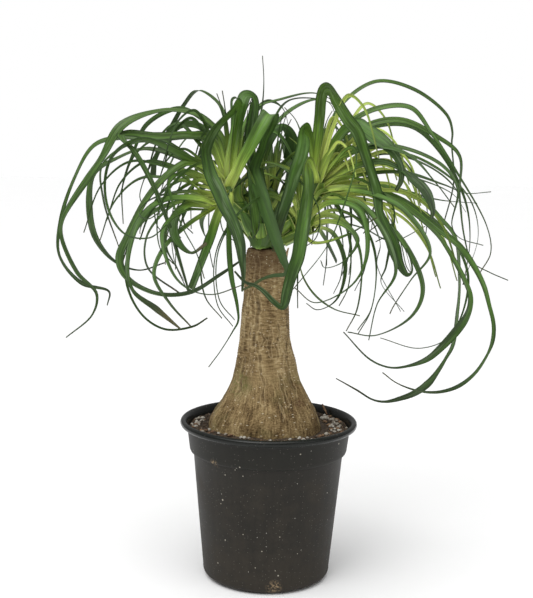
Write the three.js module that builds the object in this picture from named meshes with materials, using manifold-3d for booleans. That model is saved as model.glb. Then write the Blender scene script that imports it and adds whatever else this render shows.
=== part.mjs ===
// A potted ponytail palm: a nursery pot, its soil, a swollen fluted trunk and a crown of curling leaves.
// Millimetres, +Z up. The origin is the middle of the pot's underside, and the plant's front looks along -Y.
import * as THREE from "three";
import Module from "manifold-3d";
import { mergeVertices } from "three/addons/utils/BufferGeometryUtils.js";

const wasm = await Module();
wasm.setup();

// Driving dimensions
const GAP = 0.3;
const ROUND_SIDES = 48;
const TRUNK_SIDES = 40;
const POT = {
  rim: 101.5,
  rimInside: 95.5,
  height: 183.5,
  beadHeight: 7.5,
  bandTop: 93.7,
  bandBottom: 90.4,
  bandLow: 151,
  step: 86,
  stepHeight: 147,
  wallFoot: 73.2,
  footHeight: 9,
  contact: 65.7,
  wall: 1.6,
  floor: 4.2,
};
const NOTCH = { count: 4, width: 51, height: 3.6, inner: 52, turn: 41 };
const SLOT = { width: 15, depth: 9, height: 9, radius: 68.5, spread: 13 };
const SOIL = { height: 173.5, relief: 1.3, heap: 3.5, grains: 26, smallest: 1.8, largest: 3.2, seed: 11 };
const TRUNK = { foot: 168.5, top: 380, butt: 122, flutes: 1.9 };
const EYE = { distance: 1228, height: 491 };
// A blade's section, its widths, and how its midrib is cut in stretches: lengths in mm and turns in radians
const BLADE = { thinnest: 0.9, narrowest: 1.3, keel: 0.15, root: 0.5, clasp: 0.15 };
const PLAIN = { width: 3, grows: 0.5, shows: 0.65, taper: [0.42, 0.97], point: 0.93, cut: 0.3, most: 0.9 };
const MEASURED = { width: 1.06, spare: 1.04, settles: [0.45, 0.7], most: 0.97 };
const WIDE = { foot: 1.25, taper: 0.5 };
const STRETCH = { fine: 160, pitch: 48, bend: 0.66, fewest: 5, most: 18, run: 1.7 };
const FOLD = { passes: 12, forwards: 0.6, ease: 0.92 };
const ROLL = { plain: 0.04, measured: 0.21, edgeOn: 0.1 };

// The trunk's outline above the soil as [height, radius], read down from its neck to the swollen foot
const TRUNK_OUTLINE = [
  [380, 20.5], [371, 22.4], [350, 23.8], [321, 25.6], [298, 27.6], [275, 28.9], [263, 31.7], [252, 34.1],
  [240, 36.3], [228, 39.4], [217, 44.6], [205, 50.8], [193.5, 58.3], [182, 63.2], [171, 64.9],
];
// The trunk's middle wanders a little from the pot's, as [height, across]
const TRUNK_MIDDLE = [
  [171, -4.6], [185, -4.2], [205, -2.3], [219, -2.3], [238, -3.6], [256, -4.2], [266, -5.2], [278, -6.2],
  [300, -5.8], [320, -6],
];

// The growing heads on the topped trunk as [across, up, towards the front], each with its bud's radius
const HEADS = {
  left: [-46, 438, 6],
  right: [46, 441, -6],
  low: [34, 400, 14],
  front: [-13, 394, 16],
  back: [-2, 424, -30],
};
const BUDS = { left: 15, right: 16, low: 10, front: 8, back: 13 };

// Each leaf by its head, its widest seen width, which face shows (1 upper, -1 lower), its end and its midrib.
// A midrib point is [across, up] on the upright plane through the trunk, or [across, up, towards the front].
// A fourth number is the width that the front view shows there, or a list after the midrib holds them all.
const LEAVES = [
  ["left", 10, 1, "", [[-50, 475, 4], [-58, 502], [-72, 518], [-90, 528], [-128, 530, 18], [-170, 513],
    [-191, 478], [-207, 455], [-236, 408], [-238, 390, 40], [-220, 348], [-198, 324], [-203, 300],
    [-233, 273, 62]],
    [4.8, 4.8, 4.8, 4.8, 4.8, 11.6, 7.3, 8.7, 4.8, 4.8, 4.8, 3.5, 1.9, 1.2]],
  ["left", 7, 1, "", [[-60, 485, 0], [-85, 503], [-120, 502, -12], [-172, 500], [-200, 491], [-222, 455],
    [-238, 408, -40], [-240, 367], [-215, 336], [-184, 327], [-186, 311, -58]],
    [7.7, 8.7, 9.7, 4.8, 4.8, 4.8, 4.8, 2.9, 4.8, 2.3, 1]],
  ["left", 9, 1, "", [[-70, 500, 2], [-95, 504], [-130, 502, 14], [-160, 505, 20], [-170, 503, 26],
    [-169, 498, 38], [-157, 486, 44], [-138, 455], [-118, 408, 58], [-106, 370], [-93, 328, 78]],
    [8.7, 8.7, 8.7, 6.8, 3.9, 3.9, 4.8, 5.4, 4.2, 3.9, 1.9]],
  ["left", 8, 1, "", [[-80, 465, -4], [-100, 477], [-142, 488, -30], [-175, 477], [-200, 460],
    [-206, 430, -66], [-200, 390], [-178, 362, -92], [-150, 352], [-121, 361, -112]],
    [4.8, 4.8, 3.9, 3.9, 6.8, 8.7, 7.3, 3.5, 1.5, 1.5]],
  ["left", 5, -1, "", [[-75, 467, 8], [-95, 478], [-147, 498, 40], [-177, 483], [-188, 455, 72],
    [-184, 418], [-165, 392, 104], [-138, 389], [-119, 404, 122]],
    [9.7, 8.7, 3.9, 3.5, 2.5, 2.9, 1.9, 1.5, 1]],
  ["left", 4, 1, "", [[-75, 465, -10], [-112, 486], [-150, 496, -60], [-191, 470], [-190, 430, -112],
    [-173, 378, -150]],
    [2.9, 2.9, 2.9, 2.3, 2.3, 1]],
  ["left", 5, -1, "", [[-60, 500, -8], [-85, 525], [-108, 533, -48], [-142, 515], [-157, 483, -96],
    [-169, 445], [-168, 404, -140]],
    [4.8, 4.8, 4.8, 4.8, 2.9, 1.5, 1]],
  ["left", 8, 1, "", [[-50, 480, -8], [-56, 525], [-64, 541], [-85, 553, -48], [-101, 537],
    [-118, 506, -96], [-132, 478], [-135, 458, -132]],
    [4.8, 3.9, 2.9, 1.9, 4.2, 5.8, 4.8, 6.8]],
  ["left", 11, 1, "", [[-72, 466, 12], [-95, 474], [-115, 463, 34], [-142, 432], [-163, 390, 66],
    [-172, 365], [-164, 344], [-130, 326, 84], [-92, 328], [-58, 349], [-34, 366, 78]],
    [6.8, 6.8, 6.8, 6.8, 8.7, 9.7, 6.8, 4.8, 4.8, 3.9, 1.9]],
  ["left", 8, 1, "", [[-60, 427, 12], [-80, 434], [-122, 432, 50], [-150, 408], [-163, 358, 98],
    [-157, 329], [-130, 308], [-103, 286, 134]],
    [5.8, 5.8, 5.8, 6.8, 4.8, 3.9, 7.7, 1.9]],
  ["left", 4, -1, "", [[-60, 427, -6], [-100, 432], [-145, 410, -56], [-165, 345, -88], [-148, 303],
    [-120, 285, -112], [-88, 289], [-72, 299, -124]],
    [2.9, 2.9, 2.9, 2.9, 2.3, 2.3, 2.3, 1.5]],
  ["left", 5, 1, "", [[-65, 424, -6], [-100, 431], [-124, 416, -52], [-142, 388], [-140, 355, -104],
    [-103, 326, -148]],
    [3.9, 3.5, 2.9, 2.3, 2.3, 1.9]],
  ["left", 8, 1, "", [[-75, 426, 20], [-95, 427], [-110, 412, 52], [-109, 390], [-92, 373, 84],
    [-74, 384, 104]],
    [3.9, 5.8, 10.6, 10.6, 2.9, 3.9]],
  ["left", 5, 1, "", [[-65, 425, 10], [-95, 405], [-122, 378, 70], [-133, 347], [-115, 315, 124],
    [-91, 289, 146]],
    [4.8, 4.8, 4.8, 4.2, 2.9, 1.5]],
  ["left", 9, -1, "", [[-60, 425, -16], [-72, 424, -36], [-80, 409, -84], [-77, 395], [-70, 384, -142]]],
  ["left", 16, 1, "cut", [[-52, 438, 24], [-62, 416], [-70, 390, 62], [-78, 368], [-91, 332, 96]]],
  ["left", 8, 1, "", [[-46, 440, 26], [-49, 405, 66], [-48, 373], [-45, 345], [-38, 312, 104], [-37, 296],
    [-43, 284], [-56, 262], [-70, 242, 118]]],
  ["left", 16, 1, "", [[-45, 468, 14, 10], [-42, 508, 22, 10], [-40, 532, 30, 6], [-42, 538, 37, 5],
    [-47, 532, 42, 5], [-56, 523, 46, 7], [-67, 510, 50, 9], [-73, 498, 53, 10], [-76, 487, 56, 11],
    [-74, 474, 60, 13], [-70, 460, 64, 15], [-62, 444, 69, 16], [-54, 426, 74, 15], [-46, 411, 78, 13],
    [-40, 397, 82, 13], [-36, 383, 86, 12], [-34, 367, 90, 9], [-32, 350, 93, 5], [-33, 330, 96, 2]]],
  ["left", 4, 1, "", [[-62, 424, 4], [-100, 420], [-124, 395, 90], [-112, 350], [-90, 330, 140], [-66, 326],
    [-34, 337, 150]]],
  ["left", 4, -1, "", [[-62, 430, -4], [-95, 428], [-119, 400, -80], [-119, 377], [-109, 358, -120],
    [-94, 328, -146]]],
  ["left", 3, 1, "", [[-75, 440, 8], [-104, 460], [-117, 452, 60], [-103, 405, 108], [-85, 372],
    [-76, 344, 150]]],
  ["left", 4, -1, "", [[-62, 432, 2], [-100, 442], [-140, 430, 60], [-150, 416], [-140, 410],
    [-120, 424, 110]]],
  ["left", 13, 1, "", [[-50, 452, 10, 12], [-49, 471, 16, 13], [-46, 490, 21, 13], [-43, 509, 25, 12],
    [-39, 528, 28, 13], [-36, 541, 29, 14], [-33, 548, 26, 13], [-28, 549, 21, 11], [-24, 545, 17, 11],
    [-23, 538, 15, 11], [-24, 528, 14, 12], [-26, 516, 14, 11], [-28, 503, 14, 10], [-27, 480, 13, 9],
    [-20, 455, 12, 8], [-14, 430, 10, 6]]],
  ["left", 17, 1, "", [[-49, 446, 18, 8], [-43, 460, 30, 9], [-36, 476, 38, 11], [-27, 493, 43, 15],
    [-19, 508, 46, 17], [-12, 521, 46, 16], [-8, 528, 43, 16], [-5, 530, 38, 14], [-4, 526, 33, 11],
    [-7, 514, 29, 9], [-11, 503, 27, 9], [-15, 488, 25, 10], [-20, 476, 25, 13], [-23, 466, 28, 15],
    [-18, 452, 38, 15], [-12, 436, 50, 16], [-7, 421, 60, 15], [-1, 405, 69, 14], [4, 391, 77, 13],
    [9, 378, 84, 11], [13, 367, 90, 9], [17, 357, 96, 6], [15, 351, 100, 5], [2, 349, 103, 4],
    [-10, 345, 104, 3], [-21, 338, 105, 3], [-32, 332, 106, 2]]],
  ["front", 19, 1, "wide", [[-17, 404, 26], [-20, 425], [-25, 448, 34], [-30, 476, 44]]],
  ["right", 16, 1, "", [[45, 468, -4, 8], [41, 494, 4, 9], [37, 508, 10, 12], [34, 513, 16, 15],
    [32, 510, 22, 15], [32, 497, 28, 15], [29, 481, 33, 15], [24, 466, 38, 14], [20, 451, 42, 13],
    [15, 434, 46, 13], [10, 417, 50, 12], [6, 402, 54, 11], [4, 389, 58, 8], [2, 376, 62, 4]]],
  ["right", 16, 1, "", [[45, 456, 12, 10], [42, 468, 22, 12], [39, 475, 28, 15], [37, 475, 34, 15],
    [38, 466, 38, 13], [39, 456, 42, 12], [39, 447, 46, 13], [38, 438, 50, 15], [36, 421, 58, 15],
    [33, 400, 68, 16], [31, 383, 78, 15], [29, 370, 86, 15], [25, 358, 94, 15], [20, 342, 102, 13],
    [17, 328, 108, 12], [15, 317, 112, 10], [12, 313, 116, 7], [3, 319, 120, 6], [-9, 331, 123, 5],
    [-18, 337, 125, 4], [-30, 341, 127, 3], [-42, 353, 128, 2]]],
  ["left", 6, 1, "", [[-30, 450, -10], [-15, 485], [-3, 513, -34], [22, 537], [48, 546, -60], [74, 532],
    [92, 490, -110]]],
  ["back", 16, -1, "cut", [[-16, 462, -30, 8], [-14, 476, -32, 10], [-10, 489, -35, 11], [-6, 501, -39, 12],
    [0, 510, -45, 11], [8, 515, -53, 9], [15, 511, -60, 11], [19, 502, -64, 14], [20, 490, -66, 16],
    [18, 480, -68, 16]]],
  ["back", 5, 1, "", [[-24, 475, -32], [-19, 510], [-14, 541, -44], [-13, 565], [-15, 592, -52]]],
  ["left", 6, 1, "", [[-40, 495, -14], [-25, 532, -40], [5, 545], [47, 552, -110], [80, 530],
    [96, 488, -176]]],
  ["back", 5, 1, "", [[-6, 470, -38], [-5, 510], [12, 542, -84], [42, 547], [62, 540, -138],
    [70, 505, -178]]],
  ["back", 6, 1, "", [[-22, 480, -40], [-22, 528, -66], [-8, 543], [8, 536, -120], [18, 505, -170]]],
  ["left", 5, 1, "", [[-46, 480, -16], [-47, 520, -40], [-48, 543, -66], [-42, 545, -90],
    [-37, 520, -130]]],
  ["left", 4, 1, "", [[-38, 480, 4], [-33, 505], [-30, 533, -8]]],
  ["right", 15, 1, "cut", [[45, 462, -2, 8], [46, 485, 0, 10], [48, 507, 2, 11], [50, 530, 4, 12],
    [51, 546, 8, 12], [54, 556, 14, 11], [60, 557, 22, 10], [67, 546, 30, 13], [80, 526, 37, 13],
    [92, 511, 43, 12], [100, 492, 48, 11], [109, 467, 54, 11], [116, 445, 59, 12], [119, 424, 64, 9],
    [126, 408, 69, 12], [134, 392, 76, 14], [138, 381, 80, 15], [144, 365, 86, 10], [153, 353, 92, 5],
    [158, 356, 96, 2], [157, 368, 99, 2], [151, 383, 102, 2]]],
  ["right", 4, 1, "", [[62, 450, -8], [110, 440, -40], [140, 400], [152, 362, -96], [157, 357],
    [147, 390, -128]]],
  ["right", 6, 1, "", [[52, 475, -10], [62, 520], [78, 546, -26], [112, 567], [155, 558, -56], [190, 532],
    [197, 514, -82], [197, 500], [201, 458], [191, 408, -108]],
    [4, 4, 4, 4, 4, 3.5, 2.5, 1.8, 1.5, 1.2]],
  ["right", 7, 1, "", [[56, 480, 0], [80, 518], [112, 537, 12], [150, 539], [175, 510, 28], [202, 472],
    [240, 410, 50], [246, 380], [235, 357, 66]]],
  ["right", 9, 1, "", [[65, 482, -2], [100, 517], [140, 525, -16], [180, 508], [206, 487, -30], [208, 445],
    [216, 395, -50], [226, 369], [245, 358], [267, 349, -66]]],
  ["right", 6, -1, "", [[68, 482, -8], [105, 515], [150, 519, -60], [182, 495], [214, 440, -120],
    [222, 395], [217, 343, -160]]],
  ["right", 5, 1, "", [[72, 478, 6], [125, 497, 36], [185, 478], [206, 450, 84], [201, 410], [210, 396],
    [237, 388, 124]]],
  ["right", 6, 1, "", [[76, 468, -6], [120, 488], [168, 477, -66], [205, 448], [214, 405, -126],
    [220, 379, -146]]],
  ["right", 5, 1, "", [[76, 460, -12], [115, 470], [160, 461, -92], [200, 445], [216, 425, -166]]],
  ["right", 18, 1, "cut", [[55, 472, 6, 8], [67, 498, 12, 10], [81, 515, 20, 10], [92, 519, 28, 10],
    [103, 512, 35, 17], [114, 505, 41, 18], [127, 496, 48, 13], [137, 483, 54, 8], [142, 472, 59, 7],
    [142, 458, 65, 6], [137, 447, 70, 4]]],
  ["right", 11, 1, "", [[70, 462, 10, 5], [107, 478, 34, 5], [125, 478, 46, 5], [145, 469, 60, 6],
    [156, 460, 68, 10], [165, 453, 75, 11], [172, 444, 82, 11], [177, 433, 89, 8], [179, 425, 94, 6],
    [178, 417, 99, 3]]],
  ["right", 7, 1, "", [[66, 446, 8, 6], [95, 450, 14, 7], [145, 436, 22, 7], [188, 404, 32, 7],
    [210, 387, 37, 7], [228, 364, 42, 6], [240, 342, 46, 6], [247, 320, 50, 5], [253, 298, 54, 5],
    [253, 280, 58, 5], [248, 264, 62, 3], [235, 242, 67, 4], [218, 227, 72, 5], [201, 220, 77, 4],
    [184, 218, 82, 3], [164, 221, 88, 2], [144, 229, 94, 1], [129, 240, 99, 1]]],
  ["right", 11, 1, "", [[68, 448, 14, 5], [105, 448, 26, 5], [150, 428, 42, 5], [184, 400, 56, 5],
    [200, 378, 64, 5], [218, 348, 76, 6], [225, 331, 83, 7], [225, 317, 89, 8], [220, 303, 95, 10],
    [211, 290, 100, 11], [196, 272, 104, 9], [180, 257, 108, 7], [157, 248, 115, 3], [137, 246, 122, 2],
    [114, 255, 130, 2], [83, 286, 140, 1]]],
  ["right", 9, 1, "", [[68, 452, -8, 6], [115, 452, -24, 6], [165, 438, -40, 6], [190, 415, -52, 5],
    [205, 396, -62, 5], [212, 348, -80, 5], [211, 310, -94, 5], [208, 274, -108, 6], [200, 257, -114, 4],
    [190, 240, -119, 6], [181, 228, -123, 9], [167, 217, -128, 8], [150, 210, -133, 6], [133, 206, -138, 3],
    [119, 208, -142, 2], [100, 219, -146, 2], [76, 232, -150, 1]]],
  ["right", 3, -1, "", [[66, 444, -10], [120, 446, -40], [190, 408], [222, 350, -104], [205, 285],
    [170, 269, -140], [125, 280, -156]]],
  ["right", 5, 1, "", [[72, 470, -6], [130, 490, -40], [175, 477], [218, 442, -86], [231, 400],
    [216, 343, -112]]],
  ["right", 6, 1, "", [[70, 446, 12], [115, 442, 60], [150, 423], [178, 378, 124], [158, 348], [139, 317],
    [135, 308, 150]]],
  ["right", 8, 1, "", [[68, 440, 10], [105, 425], [143, 395, 74], [171, 340], [160, 306, 122], [120, 283],
    [88, 286, 152]]],
  ["right", 4, -1, "", [[66, 442, -8], [110, 448], [134, 425, -90], [129, 363], [124, 343, -140],
    [151, 311, -164]]],
  ["right", 6, 1, "", [[60, 438, 14], [95, 434], [125, 400, 92], [140, 356], [120, 318, 150],
    [112, 277, 166]]],
  ["right", 4, 1, "", [[58, 436, -10], [100, 426, -70], [121, 390], [119, 362, -140], [147, 311, -172]]],
  ["low", 6, 1, "", [[44, 418, 22], [65, 433], [98, 424, 76], [107, 375], [90, 339, 136], [50, 319],
    [27, 335, 160]]],
  ["low", 5, -1, "", [[44, 404, 6], [68, 398], [83, 360, -70], [74, 323], [52, 311, -120],
    [40, 318, -132]]],
  ["low", 3, 1, "", [[38, 392, 22], [32, 362, 48], [45, 333], [70, 313, 112], [101, 305, 146]]],
  ["low", 7, -1, "cut", [[45, 408, 2], [57, 396, -40], [65, 382], [73, 366, -104]]],
  ["low", 5, 1, "", [[50, 410, 24], [80, 408, 60], [96, 390], [80, 366, 104], [60, 359], [55, 367, 128]]],
  ["right", 3, 1, "", [[60, 468, 12], [84, 494], [92, 482, 70], [78, 425], [62, 384, 130], [25, 334, 172]]],
  ["low", 5, 1, "", [[44, 388, 20], [80, 395, 56], [117, 417, 92]]],
  ["low", 3, 1, "", [[50, 406, -2], [85, 417, -60], [115, 414, -110]]],
  ["low", 3, 1, "", [[54, 412, 4], [100, 405, -50], [135, 391], [171, 408, -130]]],
  ["right", 4, 1, "", [[68, 456, 8], [140, 468, 40], [190, 455], [215, 446], [243, 448, 96]]],
  ["right", 4, -1, "", [[68, 448, -10], [130, 450, -50], [185, 438], [228, 435, -118]]],
  ["right", 5, 1, "", [[62, 474, 8], [110, 495, 40], [150, 487], [180, 458, 96], [203, 430, 118]]],
];

// Leaves that fall away behind, set round the heads by the golden angle: the front view hardly shows them
const BEHIND = {
  count: 24,
  seed: 5,
  reach: [95, 190],
  rise: [48, 84],
  fall: [0, 60],
  width: [6, 12],
  sweep: 62,
};

function seeded(seed) {
  let state = seed;
  return () => {
    state = (state * 16807) % 2147483647;
    return state / 2147483647;
  };
}

// Reads a table of [value, result] rows, straight between its rows
function along(table, value) {
  const above = table.findIndex(([level]) => level >= value);
  if (above <= 0) return table.at(above)[1];
  const [low, first] = table[above - 1];
  const [high, second] = table[above];
  return THREE.MathUtils.mapLinear(value, low, high, first, second);
}

function closedGeometry(geometry) {
  const bare = geometry.index ? geometry.toNonIndexed() : geometry.clone();
  bare.deleteAttribute("normal");
  bare.deleteAttribute("uv");
  return mergeVertices(bare, 1e-4);
}

function toSolid(geometry) {
  const merged = closedGeometry(geometry);
  const points = merged.attributes.position.array;
  const faces = [];
  for (let i = 0; i < merged.index.count; i += 3) {
    const [a, b, c] = [0, 1, 2].map((corner) => merged.index.getX(i + corner));
    if (a !== b && b !== c && c !== a) faces.push(a, b, c);
  }
  const mesh = new wasm.Mesh({
    numProp: 3,
    vertProperties: new Float32Array(points),
    triVerts: new Uint32Array(faces),
  });
  return new wasm.Manifold(mesh);
}

function toGeometry(solid) {
  const mesh = solid.getMesh();
  const geometry = new THREE.BufferGeometry();
  geometry.setAttribute("position", new THREE.BufferAttribute(new Float32Array(mesh.vertProperties), 3));
  geometry.setIndex(new THREE.BufferAttribute(new Uint32Array(mesh.triVerts), 1));
  geometry.computeVertexNormals();
  return geometry;
}

// Joins many solids in pairs, so that no join has to carry the whole crown more than a few times
function joinAll(solids) {
  let row = solids;
  while (row.length > 1) {
    const next = [];
    for (let i = 0; i < row.length; i += 2) next.push(i + 1 < row.length ? row[i].add(row[i + 1]) : row[i]);
    row = next;
  }
  return row[0];
}

// Keeps the one largest outer shell: loose scraps go, and pockets sealed between crossing leaves are filled
function largestShell(geometry) {
  const index = geometry.index.array;
  const parent = Array.from({ length: geometry.attributes.position.count }, (_, i) => i);
  const find = (i) => {
    while (parent[i] !== i) {
      parent[i] = parent[parent[i]];
      i = parent[i];
    }
    return i;
  };
  for (let i = 0; i < index.length; i += 3) {
    parent[find(index[i])] = find(index[i + 1]);
    parent[find(index[i + 1])] = find(index[i + 2]);
  }
  const shells = new Map();
  for (let i = 0; i < index.length; i += 3) {
    const root = find(index[i]);
    if (!shells.has(root)) shells.set(root, []);
    shells.get(root).push(index[i], index[i + 1], index[i + 2]);
  }
  const largest = [...shells.values()].sort((a, b) => b.length - a.length)[0];
  const kept = geometry.clone();
  kept.setIndex(largest);
  return closedGeometry(kept);
}

function lathe(profile, sides = ROUND_SIDES) {
  const points = profile.map(([radius, height]) => new THREE.Vector2(radius, height));
  const geometry = new THREE.LatheGeometry(points, sides);
  geometry.rotateX(Math.PI / 2);
  return geometry;
}

function material(hex, roughness) {
  return new THREE.MeshStandardMaterial({ color: hex, roughness, metalness: 0 });
}

// The pot's inner wall at a height, shared with the soil that fills it
function potInside(height) {
  const foot = [POT.wallFoot - POT.wall - 3.2, POT.floor];
  const corner = [POT.wallFoot - POT.wall, POT.footHeight + 1];
  const step = [POT.step - POT.wall, POT.stepHeight];
  const band = [POT.bandBottom - POT.wall, POT.bandLow + 1];
  const top = [POT.bandTop - POT.wall, POT.height - POT.beadHeight - 5];
  const stations = [foot, corner, step, band, top];
  return along(stations.map(([radius, level]) => [level, radius]), height);
}

function potProfile() {
  const beadMiddle = POT.height - POT.beadHeight / 2;
  const beadRadius = POT.beadHeight / 2;
  const outside = [
    [0, 0],
    [NOTCH.inner, 0],
    [POT.contact, 0],
    [POT.contact + 5, 2.6],
    [POT.wallFoot, POT.footHeight],
    [POT.step, POT.stepHeight],
    [POT.bandBottom - 1.2, POT.stepHeight + 1.2],
    [POT.bandBottom, POT.bandLow],
    [POT.bandTop, POT.height - POT.beadHeight - 4],
    [POT.bandTop + 0.8, POT.height - POT.beadHeight],
  ];
  const bead = [-70, -30, 10, 50, 90].map((angle) => {
    const turn = THREE.MathUtils.degToRad(angle);
    return [POT.rim - beadRadius + beadRadius * Math.cos(turn), beadMiddle + beadRadius * Math.sin(turn)];
  });
  const inside = [
    [POT.rimInside, POT.height - 1.2],
    [potInside(POT.height - POT.beadHeight - 5), POT.height - POT.beadHeight - 5],
    [potInside(POT.bandLow + 1), POT.bandLow + 1],
    [potInside(POT.stepHeight), POT.stepHeight],
    [potInside(POT.footHeight + 1), POT.footHeight + 1],
    [potInside(POT.floor), POT.floor],
    [0, POT.floor],
  ];
  return [...outside, ...bead, ...inside];
}

// The raised stretches of the bottom edge between its feet, where the pot drains
function notch(turn) {
  const half = THREE.MathUtils.degToRad(NOTCH.width / 2);
  const outline = new THREE.Shape();
  outline.absarc(0, 0, POT.step, turn - half, turn + half, false);
  outline.absarc(0, 0, NOTCH.inner, turn + half, turn - half, true);
  const raised = { depth: NOTCH.height + 1, bevelEnabled: false, curveSegments: 5 };
  const geometry = new THREE.ExtrudeGeometry(outline, raised);
  geometry.translate(0, 0, -1);
  return toSolid(geometry);
}

function drainSlot(turn) {
  const geometry = new THREE.BoxGeometry(SLOT.depth, SLOT.width, SLOT.height);
  geometry.translate(SLOT.radius, 0, 0);
  geometry.rotateZ(turn);
  return toSolid(geometry);
}

function makePot() {
  let pot = toSolid(lathe(potProfile()));
  for (let i = 0; i < NOTCH.count; i += 1) {
    const turn = THREE.MathUtils.degToRad(NOTCH.turn - 90 + (i * 360) / NOTCH.count);
    const spread = THREE.MathUtils.degToRad(SLOT.spread);
    pot = pot.subtract(notch(turn)).subtract(drainSlot(turn - spread)).subtract(drainSlot(turn + spread));
  }
  const mesh = new THREE.Mesh(toGeometry(pot), material(0x343230, 0.5));
  mesh.name = "nursery_pot";
  return mesh;
}

// How far a flute stands out or in at a height and an angle round the trunk
function flute(height, angle) {
  const start = THREE.MathUtils.smoothstep(height, TRUNK.foot + 4, TRUNK.foot + 24);
  const swelling = 1 - 0.62 * THREE.MathUtils.smoothstep(height, 215, 300);
  const broad = Math.cos(5 * angle + 0.9 + height / 130) + 0.7 * Math.cos(8 * angle - 1.3 - height / 90);
  const fine = 0.5 * Math.cos(13 * angle + 2 + height / 60);
  return TRUNK.flutes * start * swelling * (broad + fine) * 0.6;
}

function trunkGeometry(grow) {
  const crown = [
    [0, TRUNK.top + 1.5 + grow],
    [TRUNK_OUTLINE[0][1] * 0.6, TRUNK.top + 1 + grow],
  ];
  const raise = (height) => height + (height === TRUNK.top ? grow : 0);
  const sides = TRUNK_OUTLINE.map(([height, radius]) => [radius + grow, raise(height)]);
  const butt = [
    [62.5 + grow, 150],
    [48 + grow, 130],
    [0, TRUNK.butt - grow],
  ];
  const geometry = lathe([...crown, ...sides, ...butt].reverse(), TRUNK_SIDES);
  const place = geometry.attributes.position;
  for (let i = 0; i < place.count; i += 1) {
    const [x, y, z] = [place.getX(i), place.getY(i), place.getZ(i)];
    const radius = Math.hypot(x, y);
    const wanted = radius < 1e-6 ? 0 : radius + flute(z, Math.atan2(y, x)) * Math.min(1, radius / 20);
    const scale = radius < 1e-6 ? 0 : wanted / radius;
    place.setXYZ(i, x * scale + along(TRUNK_MIDDLE, z), y * scale, z);
  }
  return geometry;
}

function makeTrunk() {
  const mesh = new THREE.Mesh(toGeometry(toSolid(trunkGeometry(0))), material(0x94795a, 0.9));
  mesh.name = "trunk";
  return mesh;
}

// The soil's surface: heaped in front of the trunk, with small rises and dips
function soilHeight(x, y) {
  const waves = Math.sin(x / 9 + 1.1) * Math.cos(y / 8 - 0.4) + 0.6 * Math.sin(x / 5 - y / 6);
  const inFront = THREE.MathUtils.smoothstep(-y, 20, 60);
  const heap = SOIL.heap * inFront * (1 - THREE.MathUtils.smoothstep(Math.hypot(x, y), 70, 92));
  return SOIL.height + SOIL.relief * waves * 0.5 + heap;
}

function makeSoil() {
  const clear = (height) => [potInside(height) - GAP * 1.4, height];
  const wall = [
    [0, POT.floor + GAP],
    [potInside(POT.floor + GAP) - GAP * 1.4, POT.floor + GAP],
    clear(POT.footHeight + 1),
    clear(POT.stepHeight),
    clear(POT.bandLow + 1),
    [potInside(SOIL.height) - GAP * 1.4, SOIL.height - 2],
  ];
  const surface = [90, 83, 76, 69, 0].map((radius) => [radius, SOIL.height]);
  const geometry = lathe([...wall, ...surface]);
  const place = geometry.attributes.position;
  for (let i = 0; i < place.count; i += 1) {
    if (place.getZ(i) >= SOIL.height - 0.01) place.setZ(i, soilHeight(place.getX(i), place.getY(i)));
  }
  let soil = toSolid(geometry);
  const random = seeded(SOIL.seed);
  for (let i = 0; i < SOIL.grains; i += 1) {
    const turn = i * 2.39996 + random() * 0.5;
    const radius = THREE.MathUtils.lerp(69, 87.5, Math.sqrt(random()));
    const size = THREE.MathUtils.lerp(SOIL.smallest, SOIL.largest, random());
    const grain = new THREE.IcosahedronGeometry(size, 0);
    grain.scale(1, 0.6 + 0.4 * random(), 0.7);
    grain.rotateX(random() * 3);
    grain.rotateZ(random() * 3);
    const [x, y] = [radius * Math.cos(turn), radius * Math.sin(turn)];
    grain.translate(x, y, soilHeight(x, y) + size * 0.25);
    soil = soil.add(toSolid(grain));
  }
  soil = soil.subtract(toSolid(trunkGeometry(GAP)));
  const mesh = new THREE.Mesh(largestShell(toGeometry(soil)), material(0x2c231c, 1));
  mesh.name = "potting_soil";
  return mesh;
}

// A point of the upright plane, slid along the line of sight so that it lies nearer the front
function slide([across, up, towards]) {
  const nearer = (EYE.distance - towards) / EYE.distance;
  return new THREE.Vector3(across * nearer, -towards, EYE.height + (up - EYE.height) * nearer);
}

// Gives each midrib point its place towards the front, evenly between the points that name one
function midrib(points) {
  const filled = points.map(([across, up, towards]) => [across, up, towards]);
  let last = 0;
  for (let i = 1; i < filled.length; i += 1) {
    if (filled[i][2] === undefined) continue;
    for (let j = last + 1; j < i; j += 1) {
      filled[j][2] = THREE.MathUtils.lerp(filled[last][2], filled[i][2], (j - last) / (i - last));
    }
    last = i;
  }
  return filled.map(slide);
}

// The widths that a row names for its midrib points, each made smaller the nearer its point lies
function seenWidths([, seen, , , points, widths = points.map((point) => point[3])], path) {
  if (widths[0] === undefined) return seen;
  const scaled = widths.map((width, i) => (width * (EYE.distance + path[i + 1].y)) / EYE.distance);
  return [scaled[0], ...scaled];
}

function leafPath(leaf) {
  const [head, , face, end, points] = leaf;
  const path = midrib([HEADS[head], ...points]);
  const curve = new THREE.CatmullRomCurve3(path, false, "centripetal");
  return { curve, seen: seenWidths(leaf, path), face, end };
}

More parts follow.
